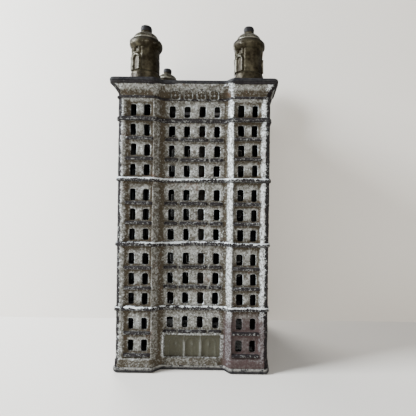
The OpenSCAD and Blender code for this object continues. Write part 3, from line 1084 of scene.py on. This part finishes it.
        for storey in range(b.storeys):
            top = b.storey_z(storey) - b.window_h / 2.0 - self.sill_drop
            # All courses but the top one get a painted highlight on their top edge, and some middle sills a
            # stronger one.
            if b.has_course(storey):
                mask = plateau(z + sag, top - self.course_h + 0.3, top - 0.35, 0.42)
                sheen_share = 0.0 if storey == b.storeys - 1 else 1.0
                raise_ledge(mask, self.course_out, top - self.course_h / 2.0, self.course_h, sheen_share)
            else:
                for left, right, reach in self.sill_spans(storey):
                    mask = plateau(z + sag * 0.7, top - self.sill_h + 0.25, top - 0.3, 0.36)
                    mask = mask * plateau(u, left + 0.15, right - 0.15, 0.32)
                    in_middle = abs(left + right) < 20.0
                    sheen_share = 0.55 if (storey * 7 + self.seed) % 3 == 0 and in_middle else 0.2
                    raise_ledge(mask, reach, top - self.sill_h / 2.0, self.sill_h, sheen_share)
        plinth = smooth01((b.base_t + b.plinth_h - z) / 0.5 + 0.5)
        out = out + plinth * (self.plinth_out - out)
        bead = b.roof_z - self.cornice_h - 1.2
        raise_ledge(plateau(z + sag * 0.6, bead - 0.3, bead + 0.3, 0.40), self.course_out, bead, 1.3)
        above = smooth01((z - (b.roof_z - self.cornice_h - 0.2)) / 0.4)
        out = out + above * (self.cornice_profile(z) - out)
        under, above_roof = b.roof_z - self.cornice_h, b.roof_z + 9.0
        # Painted shade under the roof plate, under the cornice and on the slopes turned from the light; the
        # plinth darker towards the bottom.
        grime_and_shade = 0.4 * plateau(z, b.roof_z - 0.9, above_roof, 0.7)
        grime_and_shade = grime_and_shade + 0.45 * plateau(z, under - 0.4, under + 1.2, 0.7)
        grime_and_shade = grime_and_shade + 0.60 * plateau(u, *self.shaded_curve, 1.0) * (z < under)
        grime_and_shade = grime_and_shade + 0.45 * plateau(u, *self.shaded_edge, 0.6) * (z < under) + 0.75 * plinth
        side = smooth01((np.abs(u) - 13.0) / 3.0)
        fillet = plateau(z + 3.0 * sag - 0.9 * (1.0 - side), b.roof_z - 0.9, above_roof, 0.6)
        ledge = np.maximum(ledge, fillet * (0.50 + 0.32 * side))
        # Painted highlight on the slopes that face the light: the right curve, and the corners, the right one
        # most.
        rim = 0.75 * plateau(u, *self.highlight_curve, 1.1)
        rim = rim + plateau(np.abs(u), *self.highlight_edge, 0.7) * np.where(u > 0, 0.9, 0.25)
        if self.doorway:
            low, half = b.base_t + b.plinth_h, self.door_half
            high = low + self.door_h
            around = plateau(np.abs(u), -1.0, half + 0.7, 0.25) * plateau(z, low, high + 0.6, 0.25)
            out = out + around * (self.door_frame_out - out)
            hole = plateau(np.abs(u), -1.0, half - 0.25, 0.2) * plateau(z, low + 0.15, high - 0.25, 0.2)
            out = out + hole * (-self.door_pocket - out)
            step = plateau(np.abs(u), -1.0, half - 1.2, 0.5) * smooth01((low - z) / 0.3 + 0.5)
            out = out + step * (self.door_step_out - out)
            ledge = ledge * (1.0 - around)
            # The door frame's edge gets a painted highlight.
            rim = rim * (1.0 - around) + 0.5 * (around - hole).clip(0.0, 1.0)
            silver = silver * (1.0 - around)
        return {"out": out, "ledge": ledge, "crest": crest * ledge, "silver": silver,
                "soot": grime_and_shade.clip(0.0, 1.0), "rim": rim.clip(0.0, 1.0)}

    def hollow_mask(self, out: np.ndarray, runs: np.ndarray, levels: np.ndarray) -> np.ndarray:
        """Returns how much each point lies in a hollow.

        Formula: the surface's reach is resampled on an even grid, blurred over about 1 mm,
        and the blur's height above the surface, scaled to 0..1, is the hollow.

        Args:
            out: Reach at each grid point.
            runs: The grid's run lines.
            levels: The grid's level lines.

        Returns:
            Array like out, from 0 to 1.
        """
        step, reach = 0.35, 8
        eu, ez = np.arange(runs[0], runs[-1] + step, step), np.arange(levels[0], levels[-1] + step, step)
        full = out - self.block.recess_at(runs)[None, :]
        soft = np.stack([np.interp(eu, runs, row) for row in full])
        soft = np.stack([np.interp(ez, levels, column) for column in soft.T]).T
        kernel = np.exp(-0.5 * (np.arange(-reach, reach + 1) / 3.0) ** 2)
        kernel /= kernel.sum()
        for axis in (0, 1):
            soft = np.apply_along_axis(
                lambda line: np.convolve(np.pad(line, reach, mode="edge"), kernel, "valid"), axis, soft)
        back = np.stack([np.interp(levels, ez, column) for column in soft.T]).T
        back = np.stack([np.interp(runs, eu, row) for row in back])
        return np.clip((back - full) / 0.40, 0.0, 1.0)

    def shell(self) -> Shell:
        """Returns the wall's closed skin: outside, inside, window reveals and rims."""
        b = self.block
        holes = self.windows()
        runs, levels = self.grid(holes)
        u, z = np.meshgrid(runs, levels)
        form = self.relief(u, z)
        hollow = self.hollow_mask(form["out"], runs, levels)
        place = flat_place(u, z)
        at_end = smooth01(np.minimum(z - levels[0], levels[-1] - z) / 1.5)
        mu, mz, drop = holes.move(u, z)
        uneven = 0.06 * noise3(place, 4.5, self.seed) + 0.05 * noise3(place, 1.2, self.seed + 1)
        out = form["out"] - drop + uneven * at_end
        flat = smooth01((b.half - b.corner_r - np.abs(u)) / 2.0)
        mu = mu + 0.14 * noise3(place, 9.0, self.seed + 5) * at_end * flat
        mz = mz + 0.16 * noise3(place, 11.0, self.seed + 6) * at_end
        x_out, y_out = b.outline(mu, out)
        outer = np.stack([x_out, y_out, mz], axis=-1)
        squeeze, reach_in = b.half - 4.6, b.half - (b.sink + b.wall) - 0.1
        beyond = np.maximum(np.abs(mu) - squeeze, 0.0) * (reach_in - squeeze) / (runs[-1] - squeeze)
        x_in = np.sign(mu) * (np.minimum(np.abs(mu), squeeze) + beyond)
        y_in = b.recess_at(mu) * (b.recess - b.sink) / b.recess + b.sink + b.wall
        inner = np.stack([x_in, y_in, mz], axis=-1)
        middle = outer * 0.5 + inner * 0.5
        points, quads = closed_slab([outer, middle, inner], holes.kept(runs, levels))
        points[:, 1] -= b.half
        zeros = np.zeros(u.size)
        damp = place + np.array([0.0, 5.0, 0.0])
        stain = plateau(u + noise3(damp, 5.0, 81), self.stain_from, 40.0, 2.5)
        stain = stain * smooth01((self.stain_top - z) / 7.0)
        # Painted highlight on the windows' rounded rims and on the lit slopes, kept as the edge mask.
        rim_highlight = drop / holes.rim * 1.6 * (0.45 + 0.55 * (drop > 0)) + form["rim"]
        masks = {name: form[name] for name in ("ledge", "crest", "silver", "soot")}
        masks["corner"] = smooth01((np.abs(u) - (b.half - b.corner_r - 0.2)) / 1.0)
        masks["stain"] = stain * float(self.doorway)
        masks["edge"] = np.clip(rim_highlight, 0.0, 1.0)
        shell = Shell(turn=self.quarter.value)
        shell.add(
            points, quads,
            **{name: np.concatenate([mask.ravel(), zeros, zeros]) for name, mask in masks.items()},
            # The reveals and the inside count as hollow, which the finish darkens as painted shade.
            hollow=np.concatenate([hollow.ravel(), zeros + 0.4, zeros + 1.0]),
            interior=np.concatenate([zeros, zeros + 0.35, zeros + 1.0]),
        )
        return shell

    def build(self, paint: bpy.types.Material) -> bpy.types.Object:
        """Makes the wall, dresses it and puts it on the case."""
        b = self.block
        shell = self.shell()
        if self.doorway:
            doorway = Doorway(b)
            points, quads, hollow = doorway.doors()
            shell.add(points, quads, door=np.ones(len(points)), hollow=hollow)
            for points, quads, hollow in doorway.ornaments(self):
                # The rosettes get painted shade, deepest in their sunk parts, and painted highlights on their
                # raised frames and bosses.
                shell.add(points, quads, hollow=hollow, soot=0.3 + 0.7 * hollow, edge=0.3 - 0.3 * hollow)
        if self.lugs:
            for storey in (2, 8):
                z = (b.storey_z(storey) + b.storey_z(storey - 1)) / 2.0
                for x in (-self.lug_x, self.lug_x):
                    y = b.sink + b.wall - b.half
                    half_w, half_h = self.lug_size[0] / 2.0, self.lug_size[2] / 2.0
                    back = y + self.lug_size[1] - self.lug_bite
                    low, high = (x - half_w, y - self.lug_bite, z - half_h), (x + half_w, back, z + half_h)
                    points, quads = soft_box(low, high, 0.3)
                    shell.add(points, quads, interior=np.ones(len(points)))
        return dress(shell, self.node, paint, CASE)


def dress(shell: Shell, node: str, finish: bpy.types.Material, body: str) -> bpy.types.Object:
    """Makes a shell's object in place of its CAD node, with its finish and body.

    Args:
        shell: The gathered surfaces.
        node: The CAD node that it stands for.
        finish: The material.
        body: The body that it moves with.

    Returns:
        The object.
    """
    piece = shell.make(node + "_casting")
    piece.data.materials.append(finish)
    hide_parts(node)
    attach(piece, body)
    LOG.info("%s: %d faces", piece.name, len(piece.data.polygons))
    return piece


# --------------------------------------------------------------------------- roof and base
@dataclass
class Plate:
    """A cast plate that follows the block's outline, with round edges and holes."""

    node: str
    block: Block
    low: float
    high: float
    out: float
    top_round: float
    foot_round: float
    holes: Openings
    seed: int = SEED
    gap: float = 1.1

    def lines(self, across: bool) -> np.ndarray:
        """Returns the grid lines in one direction; the outermost ones carry the round edge."""
        b = self.block
        flat = b.half + self.out - self.reach()
        straight = b.half - b.corner_r + self.out
        ring = b.corner_r - self.reach()
        corner = [straight + ring * math.tan(a) for a in np.linspace(0.0, math.pi / 4.0, 7)]
        soft = self.holes.soft_lines(across)
        soft += [s * c for s in (-1, 1) for c in corner]
        soft += [s * c for s in (-1, 1) for c in np.linspace(b.curve_start, b.curve_start + b.curve, 6)]
        hard = sorted(set(np.round(self.holes.hard_lines(across), 6)))
        inner = lines_through(hard, soft, -flat, flat, self.gap, 0.12)
        edge = self.reach() * np.arange(1, 7) / 6.0
        return np.concatenate([-flat - edge[::-1], inner, flat + edge])

    def reach(self) -> float:
        """Returns the width of the border that carries the round edges."""
        return max(self.top_round, self.foot_round)

    def surface(self, s: np.ndarray, t: np.ndarray, round_by: float, rise: float) -> np.ndarray:
        """Maps the square grid to one face of the plate.

        Formula: with p and q the distances past the straight part and m their larger, corner
        points keep their direction and lie at radius m, so squares become round corners; the
        middle of each side is drawn in by the recess; the border falls as a quarter round.

        Args:
            s: First grid coordinate.
            t: Second grid coordinate.
            round_by: Radius of the round edge.
            rise: Level of the flat; the border falls towards the other face.

        Returns:
            Array (rows, columns, 3).
        """
        b = self.block
        straight = b.half - b.corner_r + self.out
        p, q = np.maximum(np.abs(s) - straight, 0.0), np.maximum(np.abs(t) - straight, 0.0)
        m = np.maximum(p, q)
        border = b.corner_r - self.reach()
        k = np.clip((m - border) / self.reach(), 0.0, 1.0)
        angle = k * math.pi / 2.0
        radius = np.where(k > 0, border + self.reach() * np.sin(angle), m)
        fall = round_by * (1.0 - np.cos(angle))
        length = np.maximum(np.hypot(p, q), 1e-9)
        x = np.where(p > 0, straight + radius * p / length, np.abs(s))
        y = np.where(q > 0, straight + radius * q / length, np.abs(t))
        pull_from, pull_over = 18.0, 8.0
        pull_x = smooth01((np.abs(s) - pull_from) / pull_over) * b.recess_at(t)
        pull_y = smooth01((np.abs(t) - pull_from) / pull_over) * b.recess_at(s)
        x, y = np.sign(s) * (x - pull_x), np.sign(t) * (y - pull_y)
        toward = 1.0 if rise == self.low else -1.0
        return np.stack([x, y, rise + toward * fall], axis=-1)

    def shell(self) -> Shell:
        """Returns the plate's closed skin."""
        lines_x, lines_y = self.lines(True), self.lines(False)
        s, t = np.meshgrid(lines_x, lines_y)
        ms, mt, drop = self.holes.move(s, t)
        top = self.surface(ms, mt, self.top_round, self.high)
        foot = self.surface(ms, mt, self.foot_round, self.low)
        place = np.stack([s, t, np.full_like(s, self.high)], axis=-1)
        flat = smooth01((self.block.half - 1.0 - np.maximum(np.abs(s), np.abs(t))) / 2.0)
        top[..., 2] -= drop + 0.05 * (1.0 + noise3(place, 5.0, self.seed)) * flat
        points, quads = closed_slab([top, foot], self.holes.kept(lines_x, lines_y))
        far = np.maximum(np.abs(s), np.abs(t))
        edge = smooth01((far - self.block.half - self.out + 1.2) / 0.6).ravel()
        shell = Shell()
        silvered = smooth01((points[:, 2] - 1.1) / 0.6) * float(self.low < 1.0)
        shell.add(points, quads, corner=np.concatenate([edge, edge]), silvered=silvered)
        return shell


@dataclass
class RoofPlate(Plate):
    """The roof plate with its coin slot, screw holes and the ribs that locate the walls."""

    rib_h: float = 3.0
    rib_t: float = 1.6
    rib_l: float = 18.0
    rib_at: float = 23.75
    rib_from: float = 0.0

    def add_ribs(self, shell: Shell) -> None:
        """Adds four ribs, one inside each wall."""
        low, high = sorted((self.rib_from, self.rib_from + self.rib_h))
        for sign in (-1, 1):
            at, half = sign * self.rib_at, self.rib_l / 2.0
            t = self.rib_t / 2.0
            for a, c in (((-half, at - t, low), (half, at + t, high)),
                         ((at - t, -half, low), (at + t, half, high))):
                points, quads = soft_box(a, c, 0.25)
                shell.add(points, quads)

    def build(self, finish: bpy.types.Material, body: str) -> bpy.types.Object:
        """Makes the plate with its ribs."""
        shell = self.shell()
        self.add_ribs(shell)
        return dress(shell, self.node, finish, body)


@dataclass
class BasePlate(RoofPlate):
    """The base plate with its ribs and the square boss that holds the nut."""

    boss_w: float = 15.5
    boss_h: float = 6.15
    pocket_w: float = 9.8
    pocket_h: float = 4.15
    bore: float = 5.3

    def boss(self) -> tuple[np.ndarray, np.ndarray]:
        """Returns the boss: outside up, across the top, down the bore, out and down the pocket."""
        ray, square = rays(RING_SIDES)
        pocket = self.pocket_w + 0.04
        rows = [(square * self.boss_w, 1.6), (square * self.boss_w, self.boss_h - 0.4),
                (square * (self.boss_w - 0.25), self.boss_h - 0.1),
                (square * (self.boss_w - 0.8), self.boss_h), (ray * (self.bore / 2 + 0.3), self.boss_h),
                (ray * self.bore / 2, self.boss_h - 0.3), (ray * self.bore / 2, self.pocket_h),
                (square * pocket, self.pocket_h), (square * pocket, 1.6)]
        return ring_loft([level_loop(flat, level) for flat, level in rows], closed=True)

    def build(self, finish: bpy.types.Material, body: str) -> bpy.types.Object:
        """Makes the plate with its ribs and boss."""
        shell = self.shell()
        self.add_ribs(shell)
        points, quads = self.boss()
        shell.add(points, quads)
        return dress(shell, self.node, finish, body)


# --------------------------------------------------------------------------- turrets
@dataclass
class Turret:
    """A round turret: plinth, two tiers of blind arches, a swelling ring, dome and ball top."""

    node: str
    block: Block
    sign_x: int
    sign_y: int
    turn: float
    windows: int
    seed: int
    height: float = 25.0
    drum_r: float = 5.35
    plinth_r: float = 6.1
    ring_r: float = 6.7
    dome_r: float = 5.1
    ball_r: float = 2.25
    bore_r: float = 1.5
    bore_top: float = 9.4
    around: int = 176
    stations: int = 236

    def profile(self) -> tuple[np.ndarray, np.ndarray]:
        """Returns radius and level of the plain turret, from its foot to its top.

        Formula: fixed points for foot, drum, waist, neck and ball, with arcs for the ring and
        the dome, joined by straight stretches and sampled evenly along the outline.
        """
        dome = [(self.dome_r * math.cos(a) + 0.05, 18.6 + 3.5 * math.sin(a))
                for a in np.linspace(0.10, 1.16, 10)]
        ring = [(5.15 + (self.ring_r - 5.15) * math.cos(a) ** (1.5 if a < 0 else 0.8),
                 16.9 + (2.6 if a < 0 else 1.55) * math.sin(a)) for a in np.linspace(-1.45, 1.35, 16)]
        knots = [(5.9, 0.0), (6.05, 0.15), (self.plinth_r, 0.5), (self.plinth_r, 4.2), (5.95, 4.5),
                 (5.5, 4.9), (self.drum_r, 5.3), (self.drum_r, 10.9), (5.2, 11.5), (5.1, 11.9),
                 (5.2, 12.3), (self.drum_r, 12.8), (self.drum_r, 13.7)]
        knots += ring + [(5.25, 18.55), (5.2, 18.75), (5.3, 18.9)] + dome[1:]
        knots += [(1.95, 22.0), (1.9, 22.2), (2.05, 22.5), (2.2, 22.9), (self.ball_r, 23.4),
                  (self.ball_r, 24.0), (2.1, 24.5), (1.75, 24.8), (1.1, 24.95), (0.5, 25.0), (TIP_R, 25.0)]
        knots = np.array(knots)
        run = np.concatenate([[0.0], np.cumsum(np.hypot(*np.diff(knots, axis=0).T))])
        fine = np.linspace(0.0, run[-1], self.stations)
        return np.interp(fine, run, knots[:, 0]), np.interp(fine, run, knots[:, 1])

    def arches(self, angle: np.ndarray, z: np.ndarray) -> tuple[np.ndarray, np.ndarray]:
        """Returns the relief of the blind arches and where they are hollow.

        Formula: for each arch, d is the distance outside a rectangle with a round head; the
        surround is a soft ridge where d is near 0.42 and the blind is sunk where d is negative.

        Args:
            angle: Angle round the turret of each grid point, in radians.
            z: Level of each grid point.

        Returns:
            The relief in millimetres, and the hollow from 0 to 1.
        """
        lift, hollow = np.zeros_like(angle), np.zeros_like(angle)
        for k in range(self.windows):
            off = (angle - k * math.pi / 4.0 + math.pi) % FULL_TURN - math.pi
            x = off * self.drum_r
            for low, high, half, raise_by in ((5.3, 10.9, 1.05, 0.95), (12.6, 14.9, 1.0, 0.75)):
                spring = high - half
                d = np.where(z > spring, np.hypot(x, z - spring), np.abs(x)) - half
                d = np.maximum(d, low - z)
                around = np.exp(-((d - 0.42) / 0.42) ** 2)
                inside = smooth01(-d / 0.35 + 0.2)
                lift = np.maximum(lift, raise_by * around) - 0.35 * inside
                hollow = np.maximum(hollow, inside)
        return lift, hollow

    def build(self, finish: bpy.types.Material) -> bpy.types.Object:
        """Makes the turret and puts it on the case."""
        b = self.block
        radius, level = self.profile()
        count = self.around
        ray, _ = rays(count)
        a, z = np.meshgrid(np.linspace(0.0, FULL_TURN, count, endpoint=False), level)
        r = np.repeat(radius[:, None], count, axis=1)
        lift, hollow = self.arches(a, z)
        bare = 8 - self.windows
        middle = math.radians(45.0 * (self.windows - 1 + (bare + 1) / 2.0))
        away = np.abs((a - middle + math.pi) % FULL_TURN - math.pi)
        plain = smooth01((away - math.radians(22.5 * bare - 8.0)) / 0.18)
        drum = plateau(z, 5.3, 14.2, 0.3)
        r = r + lift * drum * plain + (5.6 - r) * drum * (1.0 - plain) * 0.9
        place = np.stack([r * np.cos(a), r * np.sin(a), z], axis=-1)
        soft = smooth01(r / 1.5) * smooth01(z / 0.6) * smooth01((self.height - 0.1 - z) / 0.5)
        r = r + (0.11 * noise3(place, 3.2, self.seed) + 0.05 * noise3(place, 1.0, self.seed + 1)) * soft
        r = np.minimum(r, self.ring_r)
        slant = 0.10 * np.cos(a - 1.0) * plateau(z, 13.5, 18.5, 1.5)
        outer = np.stack([r * np.cos(a), r * np.sin(a), z + slant], axis=-1)
        bore = [level_loop(size * ray, at)
                for size, at in ((TIP_R, self.bore_top), (self.bore_r, self.bore_top), (self.bore_r, 0.0))]
        points, quads = ring_loft([*bore, *outer], closed=False)
        last = (len(bore) + len(outer) - 1) * count
        quads = np.concatenate([quads, cap_quads(0, count), cap_quads(last, count)[:, ::-1]])
        points = turned_about_z(points, self.turn)
        points += np.array([self.sign_x * b.bay_x, self.sign_y * b.bay_x, b.roof_top])
        dark = 0.9 * smooth01((z - 22.2) / 0.6) + 0.45 * plateau(z, 16.9, 18.3, 0.6)
        # Painted highlights on the dome, on the thin line at the dome's foot and on the ring's lower edge;
        # they join the ledge mask, which the finish lightens.
        light = 0.6 * plateau(z, 19.2, 21.8, 0.8) + 0.75 * plateau(z, 18.5, 18.9, 0.25)
        light = light + 0.35 * plateau(z, 15.9, 16.3, 0.3)
        masks = {"hollow": hollow * drum * plain, "ledge": np.clip(lift * drum * plain + light, 0, 1),
                 "dark": np.clip(dark, 0, 1)}
        bore_part = np.zeros(len(bore) * count)
        shell = Shell()
        shell.add(points, quads,
                  **{name: np.concatenate([bore_part, mask.ravel()]) for name, mask in masks.items()})
        return dress(shell, self.node, finish, CASE)


# --------------------------------------------------------------------------- fasteners
@dataclass
class Fasteners:
    """The long tie screw, its square nut and the four turret screws."""

    block: Block
    tie_d: float = 4.8
    head_d: float = 9.0
    head_h: float = 3.0
    pitch: float = 1.058
    foot_z: float = 0.4
    thread_l: float = 24.0
    nut_w: float = 9.5
    nut_z: float = 0.1
    nut_t: float = 4.0
    nut_bore: float = 4.9
    small_d: float = 2.8
    small_l: float = 9.0
    small_head_d: float = 5.2
    small_head_h: float = 1.7

    def shank(self, diameter: float, low: float, high: float, threaded: float,
              depth: float) -> tuple[np.ndarray, np.ndarray]:
        """Returns a closed shank whose lower stretch carries a helical thread.

        Formula: the radius falls by depth times a triangle wave of level / pitch minus
        angle / full turn, and fades to the plain radius above the threaded stretch.

        Args:
            diameter: Outside diameter.
            low: Level of the foot.
            high: Level of the top.
            threaded: Length of the threaded stretch.
            depth: Depth of the thread.

        Returns:
            Points and quads.
        """
        count = 36
        ray, _ = rays(count)
        angle = np.linspace(0.0, FULL_TURN, count, endpoint=False)
        fine = np.arange(low, low + threaded, self.pitch / 7.0)
        level = np.concatenate([fine, np.linspace(low + threaded, high, 12)])
        a, z = np.meshgrid(angle, level)
        phase = (z / self.pitch - a / FULL_TURN) % 1.0
        wave = np.clip(np.abs(phase - 0.5) * 2.6 - 0.15, 0.0, 1.0)
        body = diameter / 2.0 - depth * wave * smooth01((low + threaded - z) / 1.5)
        body = body - 0.35 * (1.0 - smooth01((z - low) / 0.9))
        rows = [level_loop(r[:, None] * ray, h[0]) for r, h in zip(body, z)]
        tips = [level_loop(TIP_R * ray, h) for h in (low, high)]
        points, quads = ring_loft([tips[0], *rows, tips[1]], closed=False)
        lid = cap_quads((len(rows) + 1) * count, count)
        return points, np.concatenate([quads, cap_quads(0, count), lid[:, ::-1]])

    def head(self, diameter: float, height: float, slot_w: float, slot_deep: float,
             flip: bool) -> tuple[np.ndarray, np.ndarray]:
        """Returns a slotted head on chords of a circle.

        Formula: line i lies at y = Y_i and its points at x = t * sqrt(R^2 - Y_i^2), so the
        slot's sides are straight lines; the height is a dome less a soft step at the slot.

        Args:
            diameter: Outside diameter.
            height: Height of the middle.
            slot_w: Width of the slot.
            slot_deep: Depth of the slot.
            flip: True for a flatter head that faces down.

        Returns:
            Points and quads.
        """
        radius = diameter / 2.0
        beside_slot = [s * (slot_w / 2 + d) for s in (-1, 1) for d in (-0.09, 0.0, 0.12)]
        widest = radius * 0.998
        y_lines = lines_through([], beside_slot, -widest, widest, diameter / 22.0, 0.04)
        t = np.sin(np.linspace(-1.0, 1.0, 29) * math.pi / 2.0)
        y = np.repeat(y_lines[:, None], len(t), axis=1)
        x = t[None, :] * np.sqrt(radius**2 - y**2)
        far = np.hypot(x, y) / radius
        dome = height * (1.0 - far**2.4) if not flip else height * (1.0 - 0.25 * far**6)
        top = dome - slot_deep * smooth01((slot_w / 2 + 0.06 - np.abs(y)) / 0.1)
        top = np.maximum(top, 0.02)
        under = np.stack([x, y, np.zeros_like(x)], axis=-1)
        top = top + 0.02 * noise3(under, 1.1, 91) * (far < 0.93)
        upper = np.stack([x, y, top], axis=-1)
        points, quads = closed_slab([upper, under], np.ones((len(y_lines) - 1, len(t) - 1), dtype=bool))
        if flip:
            points = points * np.array([1.0, -1.0, -1.0])
        return points, quads

    def build_tie(self, finish: bpy.types.Material) -> None:
        """Makes the long screw on its own body."""
        top = self.block.roof_top
        shell = Shell()
        shell.add(*self.shank(self.tie_d, self.foot_z, top + 0.5, self.thread_l, 0.42))
        points, quads = self.head(self.head_d, self.head_h, 1.2, 1.5, False)
        shell.add(points + np.array([0.0, 0.0, top]), quads)
        dress(shell, "tie_screw", finish, SCREW)

    def build_nut(self, finish: bpy.types.Material) -> None:
        """Makes the square nut in the base."""
        ray, square = rays(RING_SIDES)
        low, high, bore = self.nut_z, self.nut_z + self.nut_t, self.nut_bore / 2.0
        rows = [(square * (self.nut_w - 0.5), low), (square * (self.nut_w - 0.1), low + 0.15),
                (square * self.nut_w, low + 0.4), (square * self.nut_w, high - 0.4),
                (square * (self.nut_w - 0.1), high - 0.15), (square * (self.nut_w - 0.5), high),
                (ray * (bore + 0.35), high), (ray * bore, high - 0.35), (ray * bore, low + 0.35),
                (ray * (bore + 0.35), low)]
        shell = Shell()
        shell.add(*ring_loft([level_loop(flat, level) for flat, level in rows], closed=True))
        dress(shell, "tie_nut", finish, BASE)

    def build_small(self, finish: bpy.types.Material) -> None:
        """Makes the four screws that hold the turrets from inside."""
        b = self.block
        shell = Shell()
        for sx in (-1, 1):
            for sy in (-1, 1):
                place = np.array([sx * b.bay_x, sy * b.bay_x, b.roof_z])
                points, quads = self.shank(self.small_d, -self.small_l, 0.5, self.small_l - 2.0, 0.25)
                points = points * np.array([1.0, -1.0, -1.0])
                shell.add(points + place, quads)
                points, quads = self.head(self.small_head_d, self.small_head_h, 0.8, 0.8, True)
                shell.add(points + place, quads)
        dress(shell, "turret_screws", finish, CASE)


# --------------------------------------------------------------------------- stage, light and camera
@dataclass(frozen=True)
class Studio:
    """Pale floor, backdrop, lights and camera, in millimetres."""

    camera_x: float = 16.9
    camera_z: float = 64.9
    distance: float = 130.5
    focal_px: float = 334.0
    frame_px: float = 416.0
    sensor: float = 36.0
    centre_px: float = 28.0
    roll_deg: float = -0.75
    stage_half: int = 900

    def camera(self, front_y: float) -> None:
        """Makes the camera, looking along +Y at the front."""
        data = bpy.data.cameras.new("camera")
        data.sensor_width = self.sensor
        data.lens = self.focal_px / self.frame_px * self.sensor
        data.shift_x = -self.centre_px / self.frame_px
        data.clip_start = 0.005
        data.clip_end = 20.0
        cam = bpy.data.objects.new("camera", data)
        bpy.context.scene.collection.objects.link(cam)
        roll = Matrix.Rotation(math.radians(self.roll_deg), 4, "Y")
        face = Matrix.Rotation(math.radians(90.0), 4, "X")
        cam.matrix_world = Matrix.Translation(
            Vector((self.camera_x, front_y - self.distance, self.camera_z)) * MM) @ roll @ face
        bpy.context.scene.camera = cam

    def area(self, name: str, place: tuple, target: tuple, size: float, power: float,
             colour: tuple) -> None:
        """Makes one soft area light, turned to a target.

        Args:
            name: The light's name.
            place: Where it stands.
            target: The point that it faces.
            size: Side of its square.
            power: Power in watts.
            colour: Its colour.
        """
        data = bpy.data.lights.new(name, "AREA")
        data.shape = "SQUARE"
        data.size = size * MM
        data.energy = power
        data.color = colour
        lamp = bpy.data.objects.new(name, data)
        lamp.location = Vector(place) * MM
        aim = (Vector(target) - Vector(place)).normalized()
        lamp.rotation_mode = "QUATERNION"
        lamp.rotation_quaternion = aim.to_track_quat("-Z", "Y")
        bpy.context.scene.collection.objects.link(lamp)

    def light(self) -> None:
        """Makes the soft window light from the left, the fills and the pale surroundings."""
        self.area("key", (-400, -125, 270), (0, 0, 75), 170, 8.0, (0.90, 0.95, 1.0))
        self.area("fill", (180, -420, 160), (0, 0, 70), 300, 1.3, (1.0, 0.96, 0.90))
        self.area("rear", (-220, 380, 220), (0, 0, 70), 260, 2.8, (1.0, 0.98, 0.95))
        world = bpy.data.worlds.new("surroundings")
        world.use_nodes = True
        world.node_tree.nodes["Background"].inputs["Color"].default_value = (0.88, 0.89, 0.92, 1.0)
        world.node_tree.nodes["Background"].inputs["Strength"].default_value = 0.34
        bpy.context.scene.world = world

    def floor(self, rear_y: float) -> None:
        """Makes the floor it stands on and the upright sheet close behind it.

        The sheet is one-sided and takes no part in the lighting, so that the bank can be lit
        and looked at from behind too. Right behind the bank it carries a painted shadow, near black.
        """
        far, foot = self.stage_half, -5
        for name, sheet_like, corners in (
            ("floor", False, [(-far, -far, 0), (far, -far, 0), (far, far, 0), (-far, far, 0)]),
            ("sheet", True, [(-far, rear_y, foot), (far, rear_y, foot),
                             (far, rear_y, far), (-far, rear_y, far)]),
        ):
            pale = NodeBook("pale_" + name)
            tone = pale.noise(60.0, 3.0, 41.0)
            colour = pale.blend(tone, (0.76, 0.72, 0.66), (0.80, 0.77, 0.71))
            if sheet_like:
                # Painted shadow: near black on the sheet right behind the bank, seen only through the
                # windows.
                x, z = pale.part("X"), pale.part("Z")
                behind = x.step(-25.0, -22.0) * (1.0 - x.step(22.0, 25.0))
                behind = behind * z.step(4.0, 8.0) * (1.0 - z.step(106.0, 110.0))
                colour = pale.blend(behind, colour, (0.004, 0.004, 0.004))
                pale.one_sided()
            pale.set(Base_Color=colour, Roughness=0.8)
            mesh = bpy.data.meshes.new(name)
            mesh.from_pydata([Vector(c) * MM for c in corners], [], [(0, 1, 2, 3)])
            mesh.materials.append(pale.material)
            sheet = bpy.data.objects.new(name, mesh)
            bpy.context.scene.collection.objects.link(sheet)
            if sheet_like:
                sheet.visible_shadow = sheet.visible_diffuse = sheet.visible_glossy = False


def main() -> None:
    """Builds the bank piece by piece and reports each."""
    logging.basicConfig(level=logging.INFO)
    block = Block()
    studio = Studio()
    studio.camera(-block.half)
    studio.light()
    cornice_reach = 2.7
    studio.floor(block.half + cornice_reach + 0.7)
    paint = WornPaint().material()
    iron = BareIron().material()
    bronze = TurretBronze().material()
    steel = OldSteel().material()
    for node, quarter, seed in (
        ("front_wall", Quarter.FRONT, 7), ("right_wall", Quarter.RIGHT, 19),
        ("rear_wall", Quarter.REAR, 31), ("left_wall", Quarter.LEFT, 43),
    ):
        front_or_rear = quarter in (Quarter.FRONT, Quarter.REAR)
        WallCasting(node, block, quarter, quarter is Quarter.FRONT, front_or_rear, seed).build(paint)
    at = block.bay_x
    coin_slot = Opening(0.0, 12.5, 33.0, 4.6, 0.5)
    tie_hole = Opening(0.0, 0.0, 5.3, 5.3, 2.64)
    screw_holes = [Opening(sx * at, sy * at, 3.3, 3.3, 1.64) for sx in (-1, 1) for sy in (-1, 1)]
    roof_holes = Openings((coin_slot, tie_hole, *screw_holes), rim=0.4, spread=1.0, seed=3)
    RoofPlate("roof_plate", block, block.roof_z, block.roof_top, cornice_reach, 0.95, 0.3, roof_holes, 51,
              rib_from=block.roof_z - 3.0).build(iron, CASE)
    nut_pocket = Opening(0.0, 0.0, 9.8, 9.8, 0.3)
    base_holes = Openings((nut_pocket,), rim=0.15, spread=1.0, seed=4)
    BasePlate("base_plate", block, 0.0, block.base_t, 0.7, 0.3, 1.1, base_holes, 52,
              rib_from=block.base_t).build(iron, BASE)
    for node, sx, sy, turn, windows, seed in (
        ("turret_front_left", -1, -1, 60.0, 5, 61), ("turret_front_right", 1, -1, 0.0, 6, 63),
        ("turret_rear_left", -1, 1, 90.0, 6, 65), ("turret_rear_right", 1, 1, 30.0, 6, 67),
    ):
        Turret(node, block, sx, sy, turn, windows, seed).build(bronze)
    screws = Fasteners(block)
    screws.build_tie(steel)
    screws.build_nut(steel)
    screws.build_small(steel)


if __name__ == "__main__":
    main()
